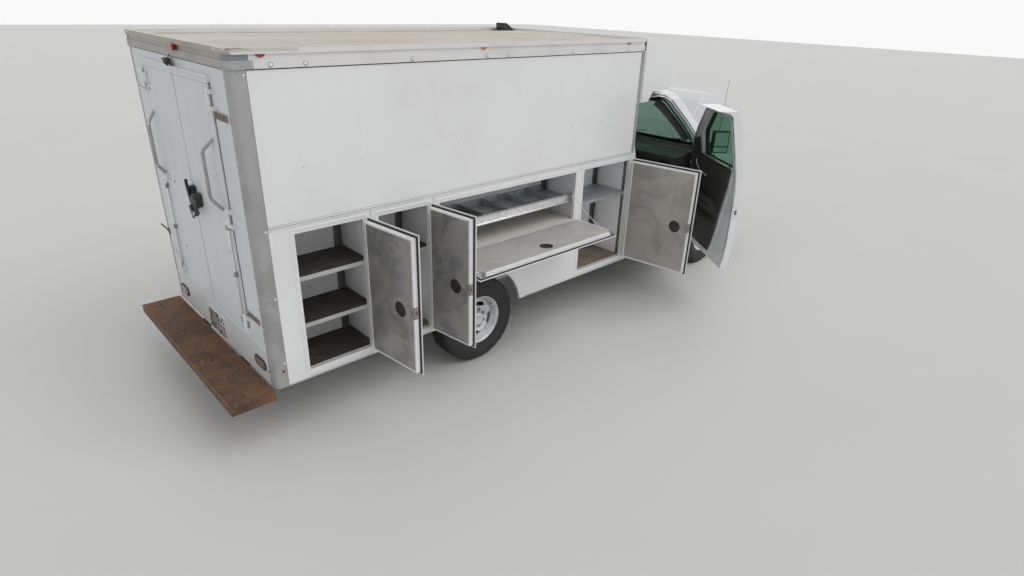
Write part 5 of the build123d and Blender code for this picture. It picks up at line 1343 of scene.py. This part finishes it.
def cabInside():  # dash, column, pedals, mats, console, visors, mirror, headliner, bulkhead trim
    p = Piece()
    p.use("blackPlastic")
    p.grid([[(x, y, 1378 + 46 * math.sin(math.pi * k / 8) + (x - 2980) * 0.12) for x in (2950, 2985,
        3060, 3150)] for k, y in enumerate(range(270, 671, 50))])
    p.use("rubber").box((2926, 2950), (300, 640), (1240, 1352))
    for y in (360, 470, 580):
        p.use("trimGrey").lathe([(44, 0), (44, 8), (38, 9), (38, 4), (0, 4)], (2926, y, 1300), behind,
            28)
        p.use("redLens").tube([(2919, y, 1300), (2919, y - 24, 1316)], 1.6, 6)
    for y in (-720, -240, 180, 760):
        p.use("blackPlastic").ring((y - 52, y + 52), (1262, 1330), 7, "x", 2914, 2928)
        for z in range(1270, 1328, 12):
            p.use("rubber").box((2917, 2928), (y - 50, y + 50), (z, z + 4))
    p.use("rubber").box((2918, 2932), (-130, 110), (1196, 1330))
    p.use("brightSteel").ring((-112, 92), (1276, 1320), 3, "x", 2914, 2919)
    for y in (-96, 76):
        p.use("blackPlastic").lathe([(16, 0), (15, 14), (0, 15)], (2918, y, 1236), behind, 20)
    for y in (-60, -20, 20):
        p.use("trimGrey").box((2912, 2918), (y - 15, y + 15), (1206, 1224))
    p.use("rubber").ring((-700, -290), (1120, 1240), 2, "x", 2930, 2934)
    p.use("brightSteel").box((2926, 2932), (-515, -475), (1218, 1232))
    # Column shroud and stalks
    column = Vector((math.cos(steering["lean"]), 0, -math.sin(steering["lean"])))
    start = steering["hub"] + column * 44
    p.use("blackPlastic").tube([start, start + column * 40, start + column * 150], [40, 52, 60], 16)
    p.tube([start + column * 40 + Vector((0, 40, 0)), start + column * 20 + Vector((0, 190, 16))],
        [6, 8], 8)
    p.tube([start + column * 40 + Vector((0, -40, 10)), start + column * 6 + Vector((0, -180, 70))],
        [6, 9], 8)
    # Pedals, mats, seams on the engine cover, cup holders
    for y, wide in ((560, 50), (380, 36)):
        p.use("rubber").box((3050, 3062), (y - wide, y + wide), (880, 950))
        p.use("axleIron").tube([(3060, y, 930), (3140, y, 1060), (3200, y, 1120)], 7, 8)
    for side in (-1, 1):
        p.use("carpet").prism([(2640, 768.5), (3060, 768.5), (3060, 776), (2640, 776)], "y",
            *span(side, 280, 820))
        for x in range(2680, 3040, 30):
            p.use("rubber").box((x, x + 6), span(side, 300, 800), (776, 779))
    p.use("blackPlastic").ring((2690, 3130), (-190, 190), 8, "z", 1052, 1060)
    for y in (-70, 70):
        p.use("rubber").lathe([(42, 0), (42, 16), (36, 16), (36, 3), (0, 3)], (2780, y, 1036),
            (0.13, 0, 0.99), 28)
    # Sun visors, rear-view mirror, dome lamp, headliner bow
    for side in (-1, 1):
        p.use("trimGrey").prism([(2700, 2062), (2712, 2070), (2880, 1962), (2870, 1950)], "y",
            *span(side, 130, 620))
    p.use("blackPlastic").tube([(2860, 0, 1996), (2830, 0, 1950), (2812, 0, 1930)], 7, 8)
    p.prism([(-118, 1886), (118, 1886), (126, 1906), (118, 1950), (-118, 1950), (-126, 1930)], "x",
        2806, 2826)
    p.use("mirrorGlass").box((2803, 2806.2), (-112, 112), (1892, 1944))
    p.use("edgeWhite").box((2430, 2560), (-60, 60), (2088, 2100))
    p.use("trimGrey")
    p.grid([[(x, y, 2094 - (y / 780) ** 4 * 90 - max(0, x - 2600) * 0.12) for y in range(-720, 721,
        120)] for x in (2020, 2200, 2400, 2600, 2740)])
    # Bulkhead trim on both sides of the doorway into the box
    for side in (-1, 1):
        p.use("carpet").box((1988, 2000), span(side, 345, 800), (790, 1560))
        p.use("trimGrey").box((1988, 2004), span(side, 336, 352), (790, 1940))
    p.done("cabInside", "chassis", 0.5)


cabInside()


def wheelInHand():  # steering wheel skin: grip, spokes, boss
    p = Piece()
    out = Vector((-math.cos(steering["lean"]), 0, math.sin(steering["lean"])))
    acrossWheel = Vector(inward)
    high = out.cross(acrossWheel)
    hub = steering["hub"]

    def at(r, angle, lift=0.0):
        return hub + r * math.cos(angle) * acrossWheel + r * math.sin(angle) * high + lift * out
    p.use("rubber").tube([at(182, 2 * math.pi * k / 48) for k in range(48)], 15.4, 12, closed=True)
    for k in range(4):
        t = (k + 0.5) * math.pi / 2
        p.tube([at(182, t + d) for d in (-0.12, -0.04, 0.04, 0.12)], [15.8, 17, 17, 15.8], 12)
    p.use("trimGrey").lathe([(60, -4), (60, 8), (50, 20), (28, 26), (0, 27)], hub, out, 28)
    p.use("blackPlastic").lathe([(30, 25), (30, 28), (0, 29)], hub, out, 24)
    p.done("steeringGrip", "steering_wheel")


wheelInHand()


def noseTop(x):
    return between([(3566, 1372), (3890, 1318), (4250, 1200), (4370, 1140), (4440, 1080), (4470, 950)],
        x)


def hoodTrim():  # ribs and pad under the hood, latch, its creases above
    p = Piece(about((3600, 0, 1362), "Y", -60))
    def under(x, y, lift):
        return (x, y, noseTop(x) - 24 - lift)
    p.use("carpet")
    p.grid([[under(x, y, 8 - 5 * (abs(y) > 560)) for y in range(-600, 601, 75)]
        for x in range(3700, 4241, 60)])
    def rib(points, wide=34, deep=22):
        rows = []
        for i, (x, y) in enumerate(points):
            a = points[max(0, i - 1)]
            b = points[min(len(points) - 1, i + 1)]
            length = math.hypot(b[0] - a[0], b[1] - a[1])
            nx, ny = -(b[1] - a[1]) / length, (b[0] - a[0]) / length
            rows.append([under(x + nx * w, y + ny * w, d) for w, d in ((-wide, 0), (-wide * 0.6, deep),
                (wide * 0.6, deep), (wide, 0))])
        p.use("cabWhite").grid(rows, False)
    for side in (-1, 1):
        rib([(3650, side * 800), (3900, side * 808), (4130, side * 800), (4230, side * 760)])
        rib([(3680, side * 120), (3960, side * 380), (4200, side * 620)])
    rib([(3660, y) for y in range(-760, 761, 95)])
    rib([(4262, y) for y in range(-640, 641, 80)])
    p.use("latchZinc").tube([(4330, -26, 1120), (4330, -26, 1086), (4330, 26, 1086), (4330, 26, 1120)],
        5, 8)
    p.box((4300, 4352), (-40, 40), (1122, 1128))
    for side in (-1, 1):
        p.use("cabWhite").tube([(x, side * (470 - (x - 3640) * 0.16), noseTop(x) - 1)
            for x in range(3640, 4361, 60)], 7, 8)
    p.use("rubber").tube([(3622, y, noseTop(3622) - 23) for y in range(-780, 781, 60)], 8, 8)
    for side in (-1, 1):
        p.use("blackPlastic").box((3700, 3712), (side * 300 - 12, side * 300 + 12), (1349, 1353.5))
    p.done("hoodTrim", "hood", 0.0)


hoodTrim()


def frontEnd():  # screen border, cowl, wipers, prop rod, antenna, lamps, arch liners, grille mesh
    p = Piece()
    def glassX(z):
        return 3560 - (z - 1372) * 710 / 652
    corners = [(-845, 1420), (845, 1420), (742, 2040), (-742, 2040)]
    inner = [(-800, 1462), (800, 1462), (706, 2000), (-706, 2000)]
    p.use("rubber").loft([[(glassX(z) + 3, y, z) for y, z in corners],
        [(glassX(z) - 3.5, y, z) for y, z in inner]], False)
    p.tube([(glassX(z) + 2, y, z) for y, z in corners], 7, 8, closed=True)
    # Cowl grille between the hood and the screen
    for side in (-1, 1):
        p.use("blackPlastic").box((3566, 3598), span(side, 40, 420), (1345, 1352))
        p.box((3566, 3598), span(side, 540, 800), (1345, 1352))
        for y in range(60, 420, 22):
            p.use("rubber").box((3568, 3596), sorted((side * y, side * (y + 10))), (1352, 1353.6))
    # Wipers lying at the foot of the glass
    for y in (-120, 560):
        foot = Vector((3560, y, 1384))
        tip = Vector((glassX(1470) + 12, y - 420, 1470))
        p.use("rubber").lathe([(18, 0), (16, 16), (0, 18)], foot, (0.5, 0, 0.85), 16)
        p.tube([foot + Vector((4, 0, 14)), (foot + tip) / 2 + Vector((14, 0, 12)),
            tip + Vector((6, 0, 4))], [8, 6, 4], 8)
        p.tube([tip + Vector((4, 240, -44)), tip + Vector((7, 0, -4)), tip + Vector((4, -180, 30))], 5,
            6)
    # Prop rod in its clips across the front of the bay
    p.use("axleIron").tube([(4162, -610, 1084), (4150, -560, 1100), (4150, 360, 1100),
        (4160, 396, 1086)], 6, 8)
    # Mast antenna on the right wing
    p.use("rubber").lathe([(20, 0), (16, 14), (7, 26), (0, 27)], (3598, -936, 1316), (0.06, 0, 1), 16)
    p.use("frameBlack").tube([(3600, -936, 1338), (3640, -934, 1760), (3676, -930, 2166)],
        [3, 2.4, 1.8], 8)
    p.dome((3676, -930, 2164), above, 4, 7)
    for side in (-1, 1):
        # Headlamp: reflector bowl, bulb shield, amber corner
        y = side * 690
        p.use("brightSteel").lathe([(20, -60), (60, -40), (88, -8), (96, 0)], (4402, y, 880),
            (0.94, side * 0.3, 0), 32)
        p.lathe([(16, -50), (16, -18), (8, -12), (0, -12)], (4402, y, 880), (0.94, side * 0.3, 0), 16)
        p.use("amberLens").box((4396 - 20, 4396), span(side, 540, 590), (790, 970))
        p.use("rubber").ring(span(side, 504, 876), (764, 996), 5, "x", 4226, 4236)
        # Side marker, wing bead, arch liner
        p.use("amberLens").box((4080, 4150), span(side, 999, 1003.2), (868, 908))
        p.use("cabWhite").tube([(x, side * 1003.6, 1120) for x in (3170, 3400, 3640, 4000)], 4, 8)
        arc = circle(60)[3:25]
        rows = [[(frontAxle + r * c, y, wheelHeight + r * s) for r, y in
                 ((433, side * 984), (470, side * 955), (470, side * 720))] for c, s in arc]
        p.use("blackPlastic").grid(rows)
        p.use("rubber").tube([(frontAxle + 433 * c, side * 1001, wheelHeight + 433 * s)
            for c, s in arc], 4, 8)
        # Tow hook and bumper pads
        p.use("frameBlack").tube([(4440, side * 380, 386), (4490, side * 380, 372),
            (4500, side * 380, 350), (4460, side * 380, 342)], 9, 8)
        p.use("rubber").box((4521, 4522), span(side, 300, 640), (430, 470))
    # Grille mesh behind the bars, lip over it, air dam below
    for y in range(-440, 441, 20):
        p.use("rubber").box((4419, 4423), (y - 1.5, y + 1.5), (640, 980))
    for z in range(650, 980, 20):
        p.box((4418, 4420), (-446, 446), (z - 1.5, z + 1.5))
    p.use("blackPlastic").prism([(-640, 392), (640, 392), (600, 300), (-600, 300)], "x", 4380, 4392)
    p.done("frontTrim", "chassis", 0.3)


frontEnd()


def engineBay():
    p = Piece()
    # Intake, valve covers, air cleaner with its duct, coil of hose, fan and shroud
    p.use("latchZinc").box((3540, 3900), (-90, 90), (1010, 1062))
    for k in range(4):
        for side in (-1, 1):
            p.tube([(3580 + 90 * k, side * 60, 1052), (3580 + 90 * k, side * 120, 1066),
                (3580 + 90 * k, side * 165, 1024)], 17, 10)
    for side in (-1, 1):
        p.use("frameBlack").prism([(side * 150, 1010), (side * 192, 1010), (side * 188, 1052),
            (side * 160, 1058)], "x", 3500, 3960)
        for x in range(3530, 3960, 100):
            p.use("brightSteel").hexagon((x, side * 176, 1056), above, 8, 7)
    p.use("blackPlastic").lathe([(0, 0), (130, 0), (134, 10), (134, 54), (124, 64), (20, 66), (0, 66)],
        (3740, 0, 1068), above, 36)
    p.tube([(3860, 40, 1096), (3960, 160, 1090), (4040, 300, 1060), (4100, 380, 1040)],
        [40, 38, 36, 44], 14)
    p.use("brightSteel").lathe([(14, 0), (14, 12), (4, 16), (0, 16)], (3740, 0, 1134), above, 12)
    p.use("blackPlastic").ring((-330, 330), (720, 1005), 14, "x", 4096, 4126)
    for c, s in circle(7):
        rows = [[(4084 - 18 * w, r * c - (w - 0.5) * 70 * s, 850 + r * s + (w - 0.5) * 70 * c)
            for w in (0, 0.5, 1)] for r in (34, 70, 100, 130)]
        p.use("rubber").grid(rows)
    p.lathe([(40, -14), (40, 14), (0, 16)], (4074, 0, 850), ahead, 20)
    for y, r in ((-110, 34), (110, 42), (0, 56)):
        p.use("axleIron").lathe([(r, -10), (r, 10), (r - 6, 10), (r - 8, 0), (8, 0), (8, 14), (0, 14)],
            (4044, y, 900 if y else 790), ahead, 24)
    p.use("rubber").tube([(4125, 260, 985), (4040, 250, 1000), (3960, 150, 985), (3900, 60, 1030)], 22,
        12)
    p.tube([(4125, -250, 760), (4040, -240, 740), (3980, -215, 760), (3940, -205, 800)], 22, 12)
    for y in range(-340, 341, 12):
        p.use("galvanised").box((4186, 4187.4), (y, y + 3), (730, 1010))
    # Battery with leads, washer bottle, brake cylinder and servo, fuse box
    p.use("blackPlastic").box((3880, 4080), (-640, -460), (880, 1080))
    p.use("frameBlack").box((3860, 4100), (-660, -440), (866, 880))
    p.box((3900, 3960), (-900, -655), (866, 874))
    for x, colour in ((3915, "redLens"), (4045, "rubber")):
        p.use("latchZinc").lathe([(9, 0), (8, 16), (0, 17)], (x, -490, 1080), above, 12)
        p.use(colour).tube([(x, -490, 1096), (x - 10, -440, 1104), (x - 60, -300, 1040),
            (x - 120, -200, 960)], 7, 8)
    p.use("creamFloor").box((3900, 4060), (520, 640), (900, 1060))
    p.use("blackPlastic").lathe([(28, 0), (28, 14), (0, 15)], (3980, 580, 1060), above, 20)
    p.box((3880, 4080), (500, 880), (884, 900))
    p.use("frameBlack").lathe([(0, 0), (118, 4), (122, 30), (116, 70), (60, 92), (0, 92)],
        (3592, 560, 1100), ahead, 36)
    p.use("latchZinc").tube([(3680, 560, 1100), (3800, 560, 1104)], [26, 22], 14)
    p.use("creamFloor").box((3700, 3810), (532, 588), (1120, 1168))
    p.use("blackPlastic").box((3640, 3800), (640, 840), (1080, 1150))
    for side in (-1, 1):  # inner wing ledges that carry them
        p.use("frameBlack").box((3620, 4180), span(side, 700, 712), (820, 1000))
        p.box((3620, 4180), span(side, 440, 712), (852, 862))
        p.use("rubber").tube([(3640, side * 760, 1190), (3800, side * 766, 1180),
            (4000, side * 766, 1130), (4160, side * 750, 1080)], 9, 8)
    p.done("engineBay", "chassis", 0.6)


engineBay()
print("cab and front dressed")


# Wheels: treaded tyres and steel rims that take the place of the plain CAD ones
wheel = {"face": 52, "lugs": 82.5, "blocks": 60, "ovals": 4}
places = {"rear_right": (0, -866, -1, "wheel_rear_right"), "rear_left": (0, 866, 1, "wheel_rear_left"),
    "front_right": (frontAxle, -865, -1, "wheel_front_right"), "front_left": (frontAxle, 865, 1,
    "wheel_front_left")}


def tyre(name):
    x0, y0, way, body = places[name]
    p = Piece(Matrix.Translation((x0, y0, wheelHeight)) @ Matrix.Diagonal((1, way, 1, 1)))
    p.use("tyreBlack")
    half = [(207, -84), (214, -99), (221, -103), (232, -105), (262, -117), (300, -122), (335, -121),
        (352, -115), (362, -106), (370, -92), (371, -60), (371, -58), (364, -57), (364, -51),
        (371, -50), (373, -20), (373, -18), (366, -17), (366, -11), (373, -10)]
    p.lathe(half + [(r, -y) for r, y in half[::-1]], (0, 0, 0), inward, 72)
    count = wheel["blocks"]
    for k in range(count):
        a = 2 * math.pi * k / count
        for y0b, y1b, skew in ((-92, -62, 0.018), (-48, -22, -0.014), (-8, 8, 0.01), (22, 48, 0.014),
                (62, 92, -0.018)):
            lowR, highR = 368, 381
            corners = []
            for r in (lowR, highR):
                taper = 0.86 if r == highR else 1.0
                for y, s in ((y0b, -skew), (y1b, skew)):
                    for d in (-0.034 * taper, 0.034 * taper):
                        t = a + d + s
                        rr = r - (4 if abs(y) > 80 else 0)
                        corners.append((rr * math.cos(t), y, rr * math.sin(t)))
            v = p.points(corners)
            for ring in ((4, 5, 7, 6), (0, 1, 5, 4), (1, 3, 7, 5), (3, 2, 6, 7), (2, 0, 4, 6)):
                p.face([v[i] for i in ring])
        if k % 2 == 0:  # shoulder lugs down the wall
            for s in (-1, 1):
                rows = []
                for r, y in ((368, s * 93), (360, s * 108), (346, s * 118.5), (332, s * 121.8)):
                    rows.append([(r * math.cos(a + d), y + s * lift, r * math.sin(a + d))
                                 for d, lift in ((-0.03, 0), (-0.024, 2.2), (0.024, 2.2), (0.03, 0))])
                p.grid(rows)
    for s in (-1, 1):  # raised rings on the wall
        for r, y in ((246, 112), (318, 123.2), (300, 123.0)):
            p.tube([(r * c, s * (y - 0.6), r * v) for c, v in circle(72)], 1.6, 6, closed=True)
    obj = p.done("tyreTread_" + name, body, 0.0)
    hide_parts("tyre_" + name)


def rim(name):
    x0, y0, way, body = places[name]
    p = Piece(Matrix.Translation((x0, y0, wheelHeight)) @ Matrix.Diagonal((1, way, 1, 1)))
    p.use("rimSilver")
    barrel = [(219, -102), (221, -98), (206, -92), (206, -86), (205, -34), (184, -26), (184, 26),
        (205, 34), (206, 86), (206, 92), (221, 98), (219, 102), (213, 103), (210, 96), (198, 90),
        (197, 40), (176, 30), (176, -30), (197, -40), (197, -90), (210, -96), (213, -103), (219, -102)]
    p.lathe(barrel, (0, 0, 0), inward, 72)
    face = wheel["face"]
    # Dished disc as rings; the ring with the ovals is cut open at each of them
    rings = [(60, face + 2), (106, face + 2), (114, face + 4), (122, face + 12), (134, face + 17),
        (146, face + 15), (158, face + 8), (170, face - 3), (181, face - 10)]
    sides = 96
    part = sides / wheel["ovals"]
    reach = {3: 5.4, 4: 6.6, 5: 5.4}  # half width of an oval in each of its rings
    opening = {(r, k) for r in reach for k in range(sides)
               if min((k + 0.5) % part, part - (k + 0.5) % part) < reach[r]}
    angles = [2 * math.pi * k / sides - 0.21 for k in range(sides)]
    front, rear = [[p.points([(r * math.cos(a), y - thick, r * math.sin(a)) for a in angles])
                    for r, y in rings] for thick in (0, 9)]
    for r in range(len(rings) - 1):
        for k in range(sides):
            n = (k + 1) % sides
            if (r, k) in opening:
                for other, (r0, k0), (r1, k1) in (
                        ((r - 1, k), (r, k), (r, n)), ((r + 1, k), (r + 1, k), (r + 1, n)),
                        ((r, (k - 1) % sides), (r, k), (r + 1, k)), ((r, n), (r, n), (r + 1, n))):
                    if other not in opening:
                        p.face([front[r0][k0], front[r1][k1], rear[r1][k1], rear[r0][k0]])
                continue
            for wall in (front, rear):
                p.face([wall[r][k], wall[r][n], wall[r + 1][n], wall[r + 1][k]], True)
    # Flange where the disc meets the barrel, hub boss, centre cap, nuts in dark seats
    p.lathe([(181, face - 10), (186, face - 18), (204, face - 22), (204, face - 30), (181, face - 28),
        (172, face - 18)], (0, 0, 0), inward, 72)
    p.use("axleIron").lathe([(110, face - 9), (60, face - 10), (0, face - 10)], (0, 0, 0), inward, 48)
    # Black disc behind the ovals: painted shade seen through the holes
    p.use("rubber").lathe([(174, face - 36), (110, face - 34), (0, face - 34)], (0, 0, 0), inward, 48)
    p.use("rimSilver").lathe([(64, face + 1), (63, face + 24), (58, face + 33), (50, face + 37),
        (30, face + 38), (26, face + 36), (0, face + 36)], (0, 0, 0), inward, 48)
    for c, s in circle(8, 0.5):
        c, s = wheel["lugs"] * c, wheel["lugs"] * s
        p.use("frameBlack").lathe([(17, 0.4), (16, 1.2), (0, 1.2)], (c, face + 2, s), inward, 16)
        p.use("latchZinc").hexagon((c, face + 3, s), inward, 11.5, 17)
        p.lathe([(7, 16), (6, 22), (0, 22)], (c, face + 3, s), inward, 10)
    p.use("rubber").tube([(150, face + 6, 100), (158, face + 22, 106)], 3.4, 8)
    obj = p.done("steelRim_" + name, body, 0.0)
    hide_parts("rim_" + name)


for name in places:
    tyre(name)
    rim(name)
print("wheels made")


# Seats: sewn pads over light frames
def cushion(name, outline, y, width):  # a closed box of cloth with even faces
    p = Piece()
    p.use("seatCloth").prism(outline, "y", y - width / 2, y + width / 2)
    obj = p.build(name)
    bpy.context.view_layer.objects.active = obj
    dense = obj.modifiers.new("dense", "REMESH")
    dense.mode, dense.voxel_size = "VOXEL", 0.012
    bpy.ops.object.modifier_apply(modifier="dense")
    return obj


seat = {"side": 470, "pressure": 4.0, "frames": 20, "limit": 0.006, "fill": 0.6}
pads = {
    "cushion": ([(2192, 946), (2640, 946), (2656, 970), (2656, 1030), (2630, 1054), (2200, 1050)], 470),
    "back": ([(2192, 1062), (2284, 1062), (2262, 1200), (2172, 1650), (2090, 1650), (2080, 1600),
        (2170, 1110)], 460),
    "rest": ([(2076, 1694), (2142, 1694), (2148, 1720), (2128, 1832), (2072, 1832), (2068, 1800)], 226)}


def softPad(name, outline, y, width):
    obj = cushion(name, outline, y, width)
    mesh = obj.data
    # Sewn channels: points near the seam lines are held while the rest swells
    group = obj.vertex_groups.new(name="seams")
    centreY = place(0, y, 0).y
    for v in mesh.vertices:
        across = (v.co.y - centreY) / (width / 2000)
        seam = min(abs(abs(across) - 0.56), abs(abs(across) - 0.985) * 0.8)
        weight = max(0.0, 1 - seam / 0.05)
        if weight > 0:
            group.add([v.index], min(1.0, weight), "REPLACE")
    start = [v.co.copy() for v in mesh.vertices]
    cloth = obj.modifiers.new("cloth", "CLOTH")
    settings = cloth.settings
    settings.quality, settings.mass = 4, 0.3
    settings.use_pressure, settings.uniform_pressure_force = True, seat["pressure"]
    settings.vertex_group_mass = "seams"
    settings.pin_stiffness = 1.0
    settings.effector_weights.gravity = 0.0
    cloth.point_cache.frame_start, cloth.point_cache.frame_end = 1, seat["frames"]
    for frameNumber in range(1, seat["frames"] + 1):
        bpy.context.scene.frame_set(frameNumber)
    bpy.context.view_layer.objects.active = obj
    bpy.ops.object.modifier_apply(modifier="cloth")
    for v, before in zip(mesh.vertices, start):  # no point moves further than the limit
        shift = v.co - before
        if shift.length > seat["limit"]:
            v.co = before + shift * (seat["limit"] / shift.length)
    bpy.context.scene.frame_set(1)
    smooth = obj.modifiers.new("even", "SMOOTH")
    smooth.factor, smooth.iterations = 0.5, 4
    finer = obj.modifiers.new("finer", "SUBSURF")
    finer.levels = finer.render_levels = 1
    for polygon in mesh.polygons:
        polygon.use_smooth = True
    mesh.materials.append(finishes["seatCloth"])
    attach(obj, "chassis")
    return obj


for side in (-1, 1):
    for part, (outline, width) in pads.items():
        name = "seatPad_" + part + ("_right" if side < 0 else "_left")
        softPad(name, outline, side * seat["side"], width)


def seatFrames():  # piping, side shields, headrest posts, recline lever, belt buckle, slides
    p = Piece()
    for side in (-1, 1):
        y = side * seat["side"]
        for edge in (-1, 1):
            p.use("rubber").tube([(2204, y + edge * 131, 1055), (2400, y + edge * 131, 1058),
                (2628, y + edge * 131, 1058)], 2.6, 8)
            p.use("trimGrey").prism([(2170, 942), (2470, 942), (2500, 962), (2300, 1010), (2180, 1040),
                (2150, 1000)], "y", *sorted((y + edge * 236, y + edge * 246)))
            p.use("brightSteel").tube([(2110, y + edge * 46, 1640), (2108, y + edge * 46, 1712)], 6, 10)
        p.use("blackPlastic").box((2140, 2164), (y - 190, y + 190), (1100, 1560))
        p.tube([(2240, y + 248, 985), (2330, y + 252, 1002)], [9, 11], 8)
        p.use("rubber").tube([(2230, y - side * 262, 1000), (2250, y - side * 262, 1090)], 9, 8)
        p.use("redLens").box((2238, 2262), (y - side * 262 - 9, y - side * 262 + 9), (1090, 1094))
        for x in (2260, 2590):
            p.use("axleIron").box((x - 14, x + 14), (y - 184, y + 184), (930, 939.6))
        for edge in (-1, 1):
            p.use("frameBlack").box((2200, 2640), sorted((y + edge * 150, y + edge * 172)),
                (939.8, 945))
    obj = p.done("seatFrames", "chassis", 0.4)
    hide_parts("seats")


seatFrames()
print("seats made")
# Floor, backdrop and light
room = {"floor": (0.70, 0.70, 0.69), "sky": 0.46, "key": 1.1, "fill": 0.28, "reach": 60000}
world = bpy.data.worlds.new("studio")
bpy.context.scene.world = world
world.use_nodes = True
world.node_tree.nodes.clear()
path = {k: add(world.node_tree, "ShaderNodeLightPath", out=k)
        for k in ("Is Camera Ray", "Is Glossy Ray", "Is Transmission Ray")}
seen = path["Is Camera Ray"].most(path["Is Glossy Ray"]).most(path["Is Transmission Ray"])
glow = add(world.node_tree, "ShaderNodeBackground", {}, {
    "Color": (1, 1, 1), "Strength": seen * (0.95 - room["sky"]) + room["sky"]})
worldOut = world.node_tree.nodes.new("ShaderNodeOutputWorld")
world.node_tree.links.new(glow.socket, worldOut.inputs["Surface"])

floorMesh = bpy.data.meshes.new("studioFloor")
far = room["reach"]
floorMesh.from_pydata([place(x, y, 0) for x, y in ((-far, -far), (far, -far), (far, far), (-far, far))],
    [], [(0, 1, 2, 3)])
floor = bpy.data.objects.new("studioFloor", floorMesh)
bpy.context.scene.collection.objects.link(floor)
f = Finish("studioFloor")
floorMesh.materials.append(f.wrap(Base_Color=f.mix(f.noise(1.5, 3), room["floor"], (0.66, 0.66, 0.65)),
    Roughness=0.55))


def sun(name, energy, turnX, turnZ, spread):
    light = bpy.data.lights.new(name, "SUN")
    light.energy, light.angle = energy, math.radians(spread)
    obj = bpy.data.objects.new(name, light)
    bpy.context.scene.collection.objects.link(obj)
    obj.rotation_euler = (math.radians(turnX), 0, math.radians(turnZ))


sun("keyLight", room["key"], 38, 25, 50)
sun("fillLight", room["fill"], 55, -60, 60)
print("stage set")
